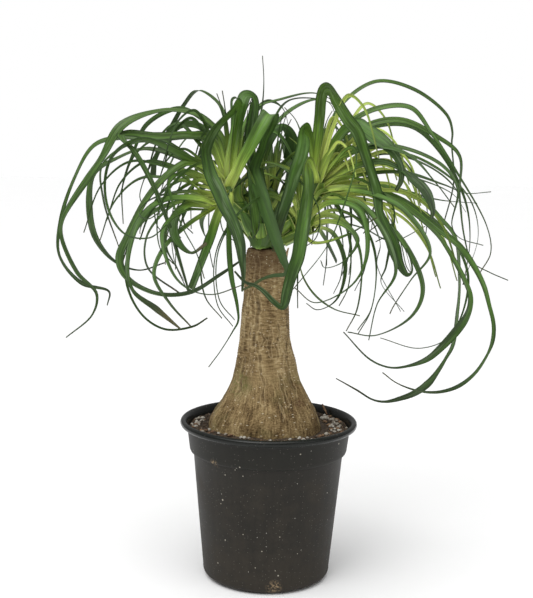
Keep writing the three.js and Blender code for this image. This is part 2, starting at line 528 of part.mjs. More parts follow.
function behindPath(index, random) {
  const pick = ([low, high]) => THREE.MathUtils.lerp(low, high, random());
  const names = Object.keys(HEADS);
  const head = slide(HEADS[names[index % names.length]]);
  const swing = ((index * 137.5) % 360) / 180 - 1;
  const turn = THREE.MathUtils.degToRad(90 + swing * BEHIND.sweep);
  const [reach, rise, fall] = [pick(BEHIND.reach), pick(BEHIND.rise), pick(BEHIND.fall)];
  const out = new THREE.Vector3(Math.cos(turn), Math.sin(turn), 0);
  const station = (share, height) => head.clone().addScaledVector(out, reach * share).setZ(head.z + height);
  const points = [
    head,
    station(0.1, rise * 0.5),
    station(0.3, rise * 0.95),
    station(0.55, rise),
    station(0.82, rise * 0.55),
    station(1, -fall * 0.3),
    station(0.94 + 0.1 * random(), -fall),
  ];
  const curve = new THREE.CatmullRomCurve3(points, false, "centripetal");
  return { curve, seen: pick(BEHIND.width), face: random() < 0.5 ? 1 : -1, end: "" };
}

// A blade's whole width at a share of its length, and the part of it that should face the front
function bladeWidth(share, spot, { seen, end }) {
  const { lerp, smoothstep } = THREE.MathUtils;
  const foot = lerp(BLADE.root, 1, Math.min(1, share / BLADE.clasp));
  const clasp = end === "wide" ? WIDE.foot - WIDE.taper * share : foot;
  if (Array.isArray(seen)) {
    const place = spot * (seen.length - 1);
    const i = Math.min(Math.floor(place), seen.length - 2);
    const here = lerp(seen[i], seen[i + 1], place - i);
    const full = MEASURED.width * Math.max(...seen) * clasp;
    const width = lerp(full, here * MEASURED.spare, smoothstep(share, ...MEASURED.settles));
    return [Math.max(BLADE.narrowest, width), Math.min(MEASURED.most, here / width)];
  }
  const full = PLAIN.width + PLAIN.grows * seen;
  const past = smoothstep(share, ...PLAIN.taper);
  const taper = 1 - (end === "cut" ? PLAIN.cut : PLAIN.point) * past;
  return [Math.max(BLADE.narrowest, full * clasp * taper), Math.min(PLAIN.most, (PLAIN.shows * seen) / full)];
}

// Rolls a blade a little round its midrib, towards showing a part of its width to the front
function steer(normal, tangent, shown, pull) {
  const front = new THREE.Vector3(0, -1, 0).addScaledVector(tangent, tangent.y);
  const facing = front.length();
  if (facing < ROLL.edgeOn) return;
  front.divideScalar(facing);
  const beside = tangent.clone().cross(front);
  const goal = front.clone().multiplyScalar(Math.sign(normal.dot(front)) * shown);
  goal.addScaledVector(beside, Math.sign(normal.dot(beside)) * Math.sqrt(1 - shown * shown));
  normal.lerp(goal, pull * facing * facing).normalize();
}

// Frames along a midrib: its point, the direction across the blade and the upper face's normal
function leafFrames(path) {
  const { curve, face } = path;
  const frames = [];
  for (let i = 0; i <= STRETCH.fine; i += 1) {
    const tangent = curve.getTangent(i / STRETCH.fine).normalize();
    const point = curve.getPoint(i / STRETCH.fine);
    const before = frames[i - 1];
    const moved = before ? before.point.distanceTo(point) : 0;
    const turned = before ? before.tangent.angleTo(tangent) : 0;
    const run = (before ? before.run : 0) + moved;
    const work = (before ? before.work : 0) + moved / STRETCH.pitch + turned / STRETCH.bend;
    frames.push({ point, tangent, run, work, turned: (before ? before.turned : 0) + turned });
  }
  const length = frames[STRETCH.fine].run;
  const pull = Array.isArray(path.seen) ? ROLL.measured : ROLL.plain;
  const sideways = curve.getPoint(0.4).x < frames[0].point.x ? 1 : -1;
  let normal = null;
  frames.forEach((frame, i) => {
    const { tangent } = frame;
    const [width, shown] = bladeWidth(frame.run / length, i / STRETCH.fine, path);
    if (normal === null) {
      normal = new THREE.Vector3(tangent.z * sideways, 0, -tangent.x * sideways);
      normal.multiplyScalar(Math.sqrt(1 - shown * shown)).add(new THREE.Vector3(0, -shown * face, 0));
    }
    normal.addScaledVector(tangent, -normal.dot(tangent)).normalize();
    steer(normal, tangent, shown, pull);
    frame.normal = normal.clone();
    frame.width = width;
    frame.across = new THREE.Vector3().crossVectors(tangent, normal).normalize();
  });
  return frames;
}

// The few frames that carry the faceted blade, closer together where the leaf bends
function chosenFrames(frames) {
  const total = frames[frames.length - 1].work;
  const count = THREE.MathUtils.clamp(Math.round(total), STRETCH.fewest, STRETCH.most);
  const chosen = [];
  for (let i = 0; i <= count; i += 1) {
    const target = (total * i) / count;
    chosen.push(frames.find((frame) => frame.work >= target - 1e-9) ?? frames[frames.length - 1]);
  }
  return chosen;
}

// A three-cornered section: two edges above and the keel of the midrib below
function section(frame) {
  const half = frame.width / 2;
  const depth = Math.max(BLADE.thinnest, frame.width * BLADE.keel);
  return [
    frame.point.clone().addScaledVector(frame.across, half).addScaledVector(frame.normal, depth / 2),
    frame.point.clone().addScaledVector(frame.across, -half).addScaledVector(frame.normal, depth / 2),
    frame.point.clone().addScaledVector(frame.normal, -depth / 2),
  ];
}

// Splits a side of the blade along the diagonal that bulges outwards, so that a twisted blade stays simple
function sideFaces(points, corners) {
  const [a, b, c, d] = corners.map((corner) => points[corner]);
  const lift = b.clone().sub(a).cross(c.clone().sub(a)).dot(d.clone().sub(a));
  const [p, q, r, s] = corners;
  return lift < 0 ? [p, q, r, p, r, s] : [p, q, s, q, r, s];
}

function bladeGeometry(frames) {
  const points = frames.map(section).flat();
  const faces = [0, 1, 2];
  for (let i = 3; i < points.length; i += 3) {
    for (let side = 0; side < 3; side += 1) {
      const next = (side + 1) % 3;
      faces.push(...sideFaces(points, [i - 3 + side, i + side, i + next, i - 3 + next]));
    }
  }
  const end = points.length - 3;
  faces.push(end + 2, end + 1, end);
  const geometry = new THREE.BufferGeometry().setFromPoints(points);
  geometry.setIndex(faces);
  return geometry;
}

// Narrows a blade where it folds, until both of its edges run forwards from each frame to the next
function easeFolds(frames) {
  for (let pass = 0; pass < FOLD.passes; pass += 1) {
    for (let i = 1; i < frames.length; i += 1) {
      const [a, b] = [frames[i - 1], frames[i]];
      const step = b.point.clone().sub(a.point);
      const reach = b.across.clone().multiplyScalar(b.width / 2).addScaledVector(a.across, -a.width / 2);
      if (Math.abs(reach.dot(step)) < FOLD.forwards * step.lengthSq()) continue;
      a.width = Math.max(BLADE.narrowest, a.width * FOLD.ease);
      b.width = Math.max(BLADE.narrowest, b.width * FOLD.ease);
    }
  }
  return frames;
}

// A blade that folds back over itself is made in runs of less than half a turn, which are then joined
function bladeRuns(path) {
  const frames = easeFolds(chosenFrames(leafFrames(path)));
  const runs = [[frames[0]]];
  frames.slice(1).forEach((frame, i) => {
    const run = runs[runs.length - 1];
    run.push(frame);
    const next = frames[i + 2];
    if (next && next.turned - run[0].turned > STRETCH.run) runs.push([frames[i], frame]);
  });
  return runs.map(bladeGeometry);
}

// A tapered stub of clasping leaf bases between two points
function stub(from, to, fromRadius, toRadius) {
  const axis = to.clone().sub(from);
  const geometry = new THREE.CylinderGeometry(toRadius, fromRadius, axis.length(), 8);
  const turn = new THREE.Quaternion().setFromUnitVectors(new THREE.Vector3(0, 1, 0), axis.normalize());
  geometry.applyQuaternion(turn);
  geometry.translate((from.x + to.x) / 2, (from.y + to.y) / 2, (from.z + to.z) / 2);
  return toSolid(geometry);
}

function headSolids() {
  const seat = new THREE.Vector3(along(TRUNK_MIDDLE, TRUNK.top), 0, TRUNK.top + 4);
  const collar = lathe([[0, 0], [20, 0], [22, 5], [17, 12], [0, 15]], 14);
  collar.translate(seat.x, 0, TRUNK.top);
  const solids = [toSolid(collar)];
  for (const [name, place] of Object.entries(HEADS)) {
    const head = slide(place);
    const bud = new THREE.SphereGeometry(BUDS[name], 8, 6);
    bud.rotateX(Math.PI / 2);
    bud.scale(1, 1, 1.9);
    bud.translate(head.x, head.y, head.z + 6);
    solids.push(stub(seat, head, 11, BUDS[name] * 0.85), toSolid(bud));
  }
  return solids;
}

function makeCrown() {
  const random = seeded(BEHIND.seed);
  const paths = LEAVES.map(leafPath);
  for (let i = 0; i < BEHIND.count; i += 1) paths.push(behindPath(i, random));
  const blades = paths.map((path) => joinAll(bladeRuns(path).map(toSolid)));
  const crown = joinAll([joinAll(headSolids()), ...blades]);
  const clear = crown.subtract(toSolid(trunkGeometry(GAP)));
  const mesh = new THREE.Mesh(largestShell(toGeometry(clear)), material(0x466e32, 0.45));
  mesh.name = "leaf_crown";
  return mesh;
}

const group = new THREE.Group();
group.add(makePot(), makeSoil(), makeTrunk(), makeCrown());

export default group;
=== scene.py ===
# A potted ponytail palm: black pot, soil with perlite, fluted trunk and a crown of long curling leaves.
import math

import bmesh
import bpy
from mathutils import Matrix, Vector, noise


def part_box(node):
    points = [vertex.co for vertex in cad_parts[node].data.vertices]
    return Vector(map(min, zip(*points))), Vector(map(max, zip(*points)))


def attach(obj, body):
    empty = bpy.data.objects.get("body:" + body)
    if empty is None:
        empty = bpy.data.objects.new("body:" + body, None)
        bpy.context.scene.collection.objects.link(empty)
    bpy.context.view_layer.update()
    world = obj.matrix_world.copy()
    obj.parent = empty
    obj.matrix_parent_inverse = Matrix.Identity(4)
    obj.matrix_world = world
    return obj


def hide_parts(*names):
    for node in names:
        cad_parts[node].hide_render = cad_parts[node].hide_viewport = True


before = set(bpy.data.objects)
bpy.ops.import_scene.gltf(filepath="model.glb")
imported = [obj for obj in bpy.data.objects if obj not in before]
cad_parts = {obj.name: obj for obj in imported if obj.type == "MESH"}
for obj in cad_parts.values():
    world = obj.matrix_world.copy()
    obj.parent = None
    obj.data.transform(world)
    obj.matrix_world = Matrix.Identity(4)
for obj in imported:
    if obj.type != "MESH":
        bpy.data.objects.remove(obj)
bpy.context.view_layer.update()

# Driving sizes in millimetres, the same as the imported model's
MM = 0.001
POT_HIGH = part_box("nursery_pot")[1]
POT = {
    "rim": POT_HIGH.x / MM, "rim_inside": 95.5, "height": POT_HIGH.z / MM, "bead": 7.5,
    "band_top": 93.7, "band_bottom": 90.4, "band_low": 151, "step": 86, "step_height": 147,
    "wall_foot": 73.2, "foot_height": 9, "contact": 65.7, "wall": 1.6, "floor": 4.2,
}
NOTCH = {"count": 4, "width": 51, "height": 3.6, "inner": 52, "turn": 41}
SLOT = {"width": 15, "depth": 9, "height": 9, "radius": 68.5, "spread": 13}
SOIL = {"height": 173.5, "relief": 1.3, "hole": 65.2, "clear": 0.42, "heap": 3.5}
TRUNK = {"foot": 168.5, "top": 380, "butt": 122, "flutes": 1.9}
EYE = {"distance": 1228, "height": 491}
CAMERA = {"lens": 65.83, "sensor": 36, "down": 0.1367, "aside": 0.0043, "tilt": 0.0198}
LEAF = {
    "narrowest": 1.1, "thick": 0.55, "keel": 0.075, "fold_keel": 0.2, "clasp": 0.42, "lanes": 8,
    "stations": 108, "thin_stations": 64, "roll": 0.06, "roll_measured": 0.3, "unworn": 0.85,
    "base_thick": 0.9, "taper": [0.42, 0.97], "measured_past": [0.45, 0.7], "folds": [0.35, 1.3],
    "ripple": 0.035, "ripple_length": 15,
}
# The seeds of the random draws
SEEDS = {"soil": 23, "furrows": 31, "heads": 41, "tones": 77, "behind": 5, "threads": 12}

# The trunk's outline above the soil as [height, radius], from the swollen foot up to its neck
TRUNK_OUTLINE = [
    [171, 64.9], [182, 63.2], [193.5, 58.3], [205, 50.8], [217, 44.6], [228, 39.4], [240, 36.3], [252, 34.1],
    [263, 31.7], [275, 28.9], [298, 27.6], [321, 25.6], [350, 23.8], [371, 22.4], [380, 20.5],
]
# The trunk's middle wanders a little from the pot's, as [height, across]
TRUNK_MIDDLE = [
    [171, -4.6], [185, -4.2], [205, -2.3], [219, -2.3], [238, -3.6], [256, -4.2], [266, -5.2], [278, -6.2],
    [300, -5.8], [320, -6],
]

# Furrows in the bark as [width, depth, points], each point across and up on the trunk's front
FURROWS = [
    [2.3, 1.9, [[-17, 380], [-16, 361], [-17, 342], [-14, 325], [-15, 302], [-18, 284], [-20, 268]]],
    [1.5, 1.1, [[-12, 268], [-10, 252], [-6, 236], [-7, 220], [-5, 207]]],
    [1.3, 1.0, [[9, 303], [10, 288], [7, 276], [10, 261], [5, 252]]],
    [1.5, 1.2, [[17, 330], [18, 305], [20, 285], [19, 261], [22, 246], [27, 230], [34, 213]]],
    [1.7, 1.1, [[11, 247], [15, 230], [17, 220], [23, 205]]],
    [1.6, 1.1, [[-28, 262], [-32, 240], [-35, 222], [-40, 208]]],
    [1.3, 0.9, [[-24, 345], [-25, 322], [-26, 300]]],
    [1.2, 0.8, [[-22, 300], [-24, 280], [-26, 262]]],
    [1.3, 0.9, [[2, 292], [0, 272], [3, 258]]],
    [1.2, 0.8, [[24, 262], [29, 244], [36, 228]]],
]
# Furrows that no photo point places: long ones on the back and short ones all round the swollen foot
BACK_FURROWS = {
    "count": 16, "turns": [0.15, math.pi - 0.15], "foot": [205, 320], "length": [30, 95], "width": [1.4, 2.6],
    "depth": [0.8, 1.8],
}
SHORT_FURROWS = {
    "count": 34, "turns": [0, 2 * math.pi], "foot": [190, 285], "length": [18, 46], "width": [0.8, 1.5],
    "depth": [0.35, 0.8],
}
# The bark's pattern is laid round the trunk at one radius, so that its fibres fan out on the swollen foot
BARK_RADIUS = 45
# Wrinkles round the neck, and the heights between which they take over from the fibres of the foot
WRINKLES = {"apart": 2.9, "depth": 0.30, "heights": [212, 255]}

# The growing heads on the topped trunk as [across, up, towards the front], and their buds' radii
HEADS = {
    "left": [-46, 438, 6],
    "right": [46, 441, -6],
    "low": [34, 400, 14],
    "front": [-13, 394, 16],
    "back": [-2, 424, -30],
}
BUDS = {"left": 15, "right": 16, "low": 10, "front": 8, "back": 13}
# Young leaves in the middle of three of the heads
YOUNG = {
    "heads": ["left", "right", "back"], "count": 7, "rise": [62, 118], "reach": [14, 44], "width": [3, 7],
}
# Clasping bases along each head's stem as [number, height of the topmost over the head, age of the lowest]
CLASPS = {
    "left": [15, 30, 0.9], "right": [13, 24, 0.5], "low": [8, 24, 0.8], "back": [10, 34, 1],
    "front": [3, 12, 1.1],
}
# A base takes its colours from the first part of a leaf this long
CLASP_LENGTH = 260
# Old bases that stand round the topped trunk, a broad one at its front and a short dry one at its right front
COLLAR = {
    "count": 9, "low": 381, "high": [402, 440], "radius": 18.5, "wrap": 0.55, "lean": [8, 22], "rounded": 0.2,
}
FRONT_CLASP = {
    "low": 380.5, "high": 470, "radius": 22.6, "wrap": 0.78, "turn": -113, "lean": 3, "rounded": 0.2,
}
DRY_CLASP = {"low": 362, "high": 382, "radius": 24.5, "wrap": 0.16, "turn": -32, "lean": 3, "rounded": 0.3}
DRY_THICK = 0.8

# Each leaf by its head, its widest seen width, which face shows (1 upper, -1 lower), its end and its midrib.
# An end is "" where a tip thins to a thread, "cut" where it is broken off and "wide" for a clasping base.
# A midrib point is [across, up] on the upright plane through the trunk, or [across, up, towards the front].
# A fourth number is the width that the front view shows there, or a list after the midrib holds them all.
LEAVES = [
    ["left", 10, 1, "", [[-50, 475, 4], [-58, 502], [-72, 518], [-90, 528], [-128, 530, 18], [-170, 513],
        [-191, 478], [-207, 455], [-236, 408], [-238, 390, 40], [-220, 348], [-198, 324], [-203, 300],
        [-233, 273, 62]],
        [4.8, 4.8, 4.8, 4.8, 4.8, 11.6, 7.3, 8.7, 4.8, 4.8, 4.8, 3.5, 1.9, 1.2]],
    ["left", 7, 1, "", [[-60, 485, 0], [-85, 503], [-120, 502, -12], [-172, 500], [-200, 491], [-222, 455],
        [-238, 408, -40], [-240, 367], [-215, 336], [-184, 327], [-186, 311, -58]],
        [7.7, 8.7, 9.7, 4.8, 4.8, 4.8, 4.8, 2.9, 4.8, 2.3, 1]],
    ["left", 9, 1, "", [[-70, 500, 2], [-95, 504], [-130, 502, 14], [-160, 505, 20], [-170, 503, 26],
        [-169, 498, 38], [-157, 486, 44], [-138, 455], [-118, 408, 58], [-106, 370], [-93, 328, 78]],
        [8.7, 8.7, 8.7, 6.8, 3.9, 3.9, 4.8, 5.4, 4.2, 3.9, 1.9]],
    ["left", 8, 1, "", [[-80, 465, -4], [-100, 477], [-142, 488, -30], [-175, 477], [-200, 460],
        [-206, 430, -66], [-200, 390], [-178, 362, -92], [-150, 352], [-121, 361, -112]],
        [4.8, 4.8, 3.9, 3.9, 6.8, 8.7, 7.3, 3.5, 1.5, 1.5]],
    ["left", 5, -1, "", [[-75, 467, 8], [-95, 478], [-147, 498, 40], [-177, 483], [-188, 455, 72],
        [-184, 418], [-165, 392, 104], [-138, 389], [-119, 404, 122]],
        [9.7, 8.7, 3.9, 3.5, 2.5, 2.9, 1.9, 1.5, 1]],
    ["left", 4, 1, "", [[-75, 465, -10], [-112, 486], [-150, 496, -60], [-191, 470], [-190, 430, -112],
        [-173, 378, -150]],
        [2.9, 2.9, 2.9, 2.3, 2.3, 1]],
    ["left", 5, -1, "", [[-60, 500, -8], [-85, 525], [-108, 533, -48], [-142, 515], [-157, 483, -96],
        [-169, 445], [-168, 404, -140]],
        [4.8, 4.8, 4.8, 4.8, 2.9, 1.5, 1]],
    ["left", 8, 1, "", [[-50, 480, -8], [-56, 525], [-64, 541], [-85, 553, -48], [-101, 537],
        [-118, 506, -96], [-132, 478], [-135, 458, -132]],
        [4.8, 3.9, 2.9, 1.9, 4.2, 5.8, 4.8, 6.8]],
    ["left", 11, 1, "", [[-72, 466, 12], [-95, 474], [-115, 463, 34], [-142, 432], [-163, 390, 66],
        [-172, 365], [-164, 344], [-130, 326, 84], [-92, 328], [-58, 349], [-34, 366, 78]],
        [6.8, 6.8, 6.8, 6.8, 8.7, 9.7, 6.8, 4.8, 4.8, 3.9, 1.9]],
    ["left", 8, 1, "", [[-60, 427, 12], [-80, 434], [-122, 432, 50], [-150, 408], [-163, 358, 98],
        [-157, 329], [-130, 308], [-103, 286, 134]],
        [5.8, 5.8, 5.8, 6.8, 4.8, 3.9, 7.7, 1.9]],
    ["left", 4, -1, "", [[-60, 427, -6], [-100, 432], [-145, 410, -56], [-165, 345, -88], [-148, 303],
        [-120, 285, -112], [-88, 289], [-72, 299, -124]],
        [2.9, 2.9, 2.9, 2.9, 2.3, 2.3, 2.3, 1.5]],
    ["left", 5, 1, "", [[-65, 424, -6], [-100, 431], [-124, 416, -52], [-142, 388], [-140, 355, -104],
        [-103, 326, -148]],
        [3.9, 3.5, 2.9, 2.3, 2.3, 1.9]],
    ["left", 8, 1, "", [[-75, 426, 20], [-95, 427], [-110, 412, 52], [-109, 390], [-92, 373, 84],
        [-74, 384, 104]],
        [3.9, 5.8, 10.6, 10.6, 2.9, 3.9]],
    ["left", 5, 1, "", [[-65, 425, 10], [-95, 405], [-122, 378, 70], [-133, 347], [-115, 315, 124],
        [-91, 289, 146]],
        [4.8, 4.8, 4.8, 4.2, 2.9, 1.5]],
    ["left", 9, -1, "", [[-60, 425, -16], [-72, 424, -36], [-80, 409, -84], [-77, 395], [-70, 384, -142]]],
    ["left", 16, 1, "cut", [[-52, 438, 24], [-62, 416], [-70, 390, 62], [-78, 368], [-91, 332, 96]]],
    ["left", 8, 1, "", [[-46, 440, 26], [-49, 405, 66], [-48, 373], [-45, 345], [-38, 312, 104],
        [-37, 296], [-43, 284], [-56, 262], [-70, 242, 118]]],
    ["left", 16, 1, "", [[-45, 468, 14, 10], [-42, 508, 22, 10], [-40, 532, 30, 6], [-42, 538, 37, 5],
        [-47, 532, 42, 5], [-56, 523, 46, 7], [-67, 510, 50, 9], [-73, 498, 53, 10], [-76, 487, 56, 11],
        [-74, 474, 60, 13], [-70, 460, 64, 15], [-62, 444, 69, 16], [-54, 426, 74, 15], [-46, 411, 78, 13],
        [-40, 397, 82, 13], [-36, 383, 86, 12], [-34, 367, 90, 9], [-32, 350, 93, 5], [-33, 330, 96, 2]]],
    ["left", 4, 1, "", [[-62, 424, 4], [-100, 420], [-124, 395, 90], [-112, 350], [-90, 330, 140],
        [-66, 326], [-34, 337, 150]]],
    ["left", 4, -1, "", [[-62, 430, -4], [-95, 428], [-119, 400, -80], [-119, 377], [-109, 358, -120],
        [-94, 328, -146]]],
    ["left", 3, 1, "", [[-75, 440, 8], [-104, 460], [-117, 452, 60], [-103, 405, 108], [-85, 372],
        [-76, 344, 150]]],
    ["left", 4, -1, "", [[-62, 432, 2], [-100, 442], [-140, 430, 60], [-150, 416], [-140, 410],
        [-120, 424, 110]]],
    ["left", 13, 1, "", [[-50, 452, 10, 12], [-49, 471, 16, 13], [-46, 490, 21, 13], [-43, 509, 25, 12],
        [-39, 528, 28, 13], [-36, 541, 29, 14], [-33, 548, 26, 13], [-28, 549, 21, 11], [-24, 545, 17, 11],
        [-23, 538, 15, 11], [-24, 528, 14, 12], [-26, 516, 14, 11], [-28, 503, 14, 10], [-27, 480, 13, 9],
        [-20, 455, 12, 8], [-14, 430, 10, 6]]],
    ["left", 17, 1, "", [[-49, 446, 18, 8], [-43, 460, 30, 9], [-36, 476, 38, 11], [-27, 493, 43, 15],
        [-19, 508, 46, 17], [-12, 521, 46, 16], [-8, 528, 43, 16], [-5, 530, 38, 14], [-4, 526, 33, 11],
        [-7, 514, 29, 9], [-11, 503, 27, 9], [-15, 488, 25, 10], [-20, 476, 25, 13], [-23, 466, 28, 15],
        [-18, 452, 38, 15], [-12, 436, 50, 16], [-7, 421, 60, 15], [-1, 405, 69, 14], [4, 391, 77, 13],
        [9, 378, 84, 11], [13, 367, 90, 9], [17, 357, 96, 6], [15, 351, 100, 5], [2, 349, 103, 4],
        [-10, 345, 104, 3], [-21, 338, 105, 3], [-32, 332, 106, 2]]],
    ["front", 19, 1, "wide", [[-17, 404, 26], [-20, 425], [-25, 448, 34], [-30, 476, 44]]],
    ["right", 16, 1, "", [[45, 468, -4, 8], [41, 494, 4, 9], [37, 508, 10, 12], [34, 513, 16, 15],
        [32, 510, 22, 15], [32, 497, 28, 15], [29, 481, 33, 15], [24, 466, 38, 14], [20, 451, 42, 13],
        [15, 434, 46, 13], [10, 417, 50, 12], [6, 402, 54, 11], [4, 389, 58, 8], [2, 376, 62, 4]]],
    ["right", 16, 1, "", [[45, 456, 12, 10], [42, 468, 22, 12], [39, 475, 28, 15], [37, 475, 34, 15],
        [38, 466, 38, 13], [39, 456, 42, 12], [39, 447, 46, 13], [38, 438, 50, 15], [36, 421, 58, 15],
        [33, 400, 68, 16], [31, 383, 78, 15], [29, 370, 86, 15], [25, 358, 94, 15], [20, 342, 102, 13],
        [17, 328, 108, 12], [15, 317, 112, 10], [12, 313, 116, 7], [3, 319, 120, 6], [-9, 331, 123, 5],
        [-18, 337, 125, 4], [-30, 341, 127, 3], [-42, 353, 128, 2]]],
    ["left", 6, 1, "", [[-30, 450, -10], [-15, 485], [-3, 513, -34], [22, 537], [48, 546, -60], [74, 532],
        [92, 490, -110]]],
    ["back", 16, -1, "cut", [[-16, 462, -30, 8], [-14, 476, -32, 10], [-10, 489, -35, 11],
        [-6, 501, -39, 12], [0, 510, -45, 11], [8, 515, -53, 9], [15, 511, -60, 11], [19, 502, -64, 14],
        [20, 490, -66, 16], [18, 480, -68, 16]]],
    ["back", 5, 1, "", [[-24, 475, -32], [-19, 510], [-14, 541, -44], [-13, 565], [-15, 592, -52]]],
    ["left", 6, 1, "", [[-40, 495, -14], [-25, 532, -40], [5, 545], [47, 552, -110], [80, 530],
        [96, 488, -176]]],
    ["back", 5, 1, "", [[-6, 470, -38], [-5, 510], [12, 542, -84], [42, 547], [62, 540, -138],
        [70, 505, -178]]],
    ["back", 6, 1, "", [[-22, 480, -40], [-22, 528, -66], [-8, 543], [8, 536, -120], [18, 505, -170]]],
    ["left", 5, 1, "", [[-46, 480, -16], [-47, 520, -40], [-48, 543, -66], [-42, 545, -90],
        [-37, 520, -130]]],
    ["left", 4, 1, "", [[-38, 480, 4], [-33, 505], [-30, 533, -8]]],
    ["right", 15, 1, "cut", [[45, 462, -2, 8], [46, 485, 0, 10], [48, 507, 2, 11], [50, 530, 4, 12],
        [51, 546, 8, 12], [54, 556, 14, 11], [60, 557, 22, 10], [67, 546, 30, 13], [80, 526, 37, 13],
        [92, 511, 43, 12], [100, 492, 48, 11], [109, 467, 54, 11], [116, 445, 59, 12], [119, 424, 64, 9],
        [126, 408, 69, 12], [134, 392, 76, 14], [138, 381, 80, 15], [144, 365, 86, 10], [153, 353, 92, 5],
        [158, 356, 96, 2], [157, 368, 99, 2], [151, 383, 102, 2]]],
    ["right", 4, 1, "", [[62, 450, -8], [110, 440, -40], [140, 400], [152, 362, -96], [157, 357],
        [147, 390, -128]]],
    ["right", 6, 1, "", [[52, 475, -10], [62, 520], [78, 546, -26], [112, 567], [155, 558, -56],
        [190, 532], [197, 514, -82], [197, 500], [201, 458], [191, 408, -108]],
        [4, 4, 4, 4, 4, 3.5, 2.5, 1.8, 1.5, 1.2]],
    ["right", 7, 1, "", [[56, 480, 0], [80, 518], [112, 537, 12], [150, 539], [175, 510, 28], [202, 472],
        [240, 410, 50], [246, 380], [235, 357, 66]]],
    ["right", 9, 1, "", [[65, 482, -2], [100, 517], [140, 525, -16], [180, 508], [206, 487, -30],
        [208, 445], [216, 395, -50], [226, 369], [245, 358], [267, 349, -66]]],
    ["right", 6, -1, "", [[68, 482, -8], [105, 515], [150, 519, -60], [182, 495], [214, 440, -120],
        [222, 395], [217, 343, -160]]],
    ["right", 5, 1, "", [[72, 478, 6], [125, 497, 36], [185, 478], [206, 450, 84], [201, 410],
        [210, 396], [237, 388, 124]]],
    ["right", 6, 1, "", [[76, 468, -6], [120, 488], [168, 477, -66], [205, 448], [214, 405, -126],
        [220, 379, -146]]],
    ["right", 5, 1, "", [[76, 460, -12], [115, 470], [160, 461, -92], [200, 445], [216, 425, -166]]],
    ["right", 18, 1, "cut", [[55, 472, 6, 8], [67, 498, 12, 10], [81, 515, 20, 10], [92, 519, 28, 10],
        [103, 512, 35, 17], [114, 505, 41, 18], [127, 496, 48, 13], [137, 483, 54, 8], [142, 472, 59, 7],
        [142, 458, 65, 6], [137, 447, 70, 4]]],
    ["right", 11, 1, "", [[70, 462, 10, 5], [107, 478, 34, 5], [125, 478, 46, 5], [145, 469, 60, 6],
        [156, 460, 68, 10], [165, 453, 75, 11], [172, 444, 82, 11], [177, 433, 89, 8], [179, 425, 94, 6],
        [178, 417, 99, 3]]],
    ["right", 7, 1, "", [[66, 446, 8, 6], [95, 450, 14, 7], [145, 436, 22, 7], [188, 404, 32, 7],
        [210, 387, 37, 7], [228, 364, 42, 6], [240, 342, 46, 6], [247, 320, 50, 5], [253, 298, 54, 5],
        [253, 280, 58, 5], [248, 264, 62, 3], [235, 242, 67, 4], [218, 227, 72, 5], [201, 220, 77, 4],
        [184, 218, 82, 3], [164, 221, 88, 2], [144, 229, 94, 1], [129, 240, 99, 1]]],
    ["right", 11, 1, "", [[68, 448, 14, 5], [105, 448, 26, 5], [150, 428, 42, 5], [184, 400, 56, 5],
        [200, 378, 64, 5], [218, 348, 76, 6], [225, 331, 83, 7], [225, 317, 89, 8], [220, 303, 95, 10],
        [211, 290, 100, 11], [196, 272, 104, 9], [180, 257, 108, 7], [157, 248, 115, 3],
        [137, 246, 122, 2], [114, 255, 130, 2], [83, 286, 140, 1]]],
    ["right", 9, 1, "", [[68, 452, -8, 6], [115, 452, -24, 6], [165, 438, -40, 6], [190, 415, -52, 5],
        [205, 396, -62, 5], [212, 348, -80, 5], [211, 310, -94, 5], [208, 274, -108, 6],
        [200, 257, -114, 4], [190, 240, -119, 6], [181, 228, -123, 9], [167, 217, -128, 8],
        [150, 210, -133, 6], [133, 206, -138, 3], [119, 208, -142, 2], [100, 219, -146, 2],
        [76, 232, -150, 1]]],
    ["right", 3, -1, "", [[66, 444, -10], [120, 446, -40], [190, 408], [222, 350, -104], [205, 285],
        [170, 269, -140], [125, 280, -156]]],
    ["right", 5, 1, "", [[72, 470, -6], [130, 490, -40], [175, 477], [218, 442, -86], [231, 400],
        [216, 343, -112]]],
    ["right", 6, 1, "", [[70, 446, 12], [115, 442, 60], [150, 423], [178, 378, 124], [158, 348],
        [139, 317], [135, 308, 150]]],
    ["right", 8, 1, "", [[68, 440, 10], [105, 425], [143, 395, 74], [171, 340], [160, 306, 122],
        [120, 283], [88, 286, 152]]],
    ["right", 4, -1, "", [[66, 442, -8], [110, 448], [134, 425, -90], [129, 363], [124, 343, -140],
        [151, 311, -164]]],
    ["right", 6, 1, "", [[60, 438, 14], [95, 434], [125, 400, 92], [140, 356], [120, 318, 150],
        [112, 277, 166]]],
    ["right", 4, 1, "", [[58, 436, -10], [100, 426, -70], [121, 390], [119, 362, -140], [147, 311, -172]]],
    ["low", 6, 1, "", [[44, 418, 22], [65, 433], [98, 424, 76], [107, 375], [90, 339, 136], [50, 319],
        [27, 335, 160]]],
    ["low", 5, -1, "", [[44, 404, 6], [68, 398], [83, 360, -70], [74, 323], [52, 311, -120],
        [40, 318, -132]]],
    ["low", 3, 1, "", [[38, 392, 22], [32, 362, 48], [45, 333], [70, 313, 112], [101, 305, 146]]],
    ["low", 7, -1, "cut", [[45, 408, 2], [57, 396, -40], [65, 382], [73, 366, -104]]],
    ["low", 5, 1, "", [[50, 410, 24], [80, 408, 60], [96, 390], [80, 366, 104], [60, 359], [55, 367, 128]]],
    ["right", 3, 1, "", [[60, 468, 12], [84, 494], [92, 482, 70], [78, 425], [62, 384, 130],
        [25, 334, 172]]],
    ["low", 5, 1, "", [[44, 388, 20], [80, 395, 56], [117, 417, 92]]],
    ["low", 3, 1, "", [[50, 406, -2], [85, 417, -60], [115, 414, -110]]],
    ["low", 3, 1, "", [[54, 412, 4], [100, 405, -50], [135, 391], [171, 408, -130]]],
    ["right", 4, 1, "", [[68, 456, 8], [140, 468, 40], [190, 455], [215, 446], [243, 448, 96]]],
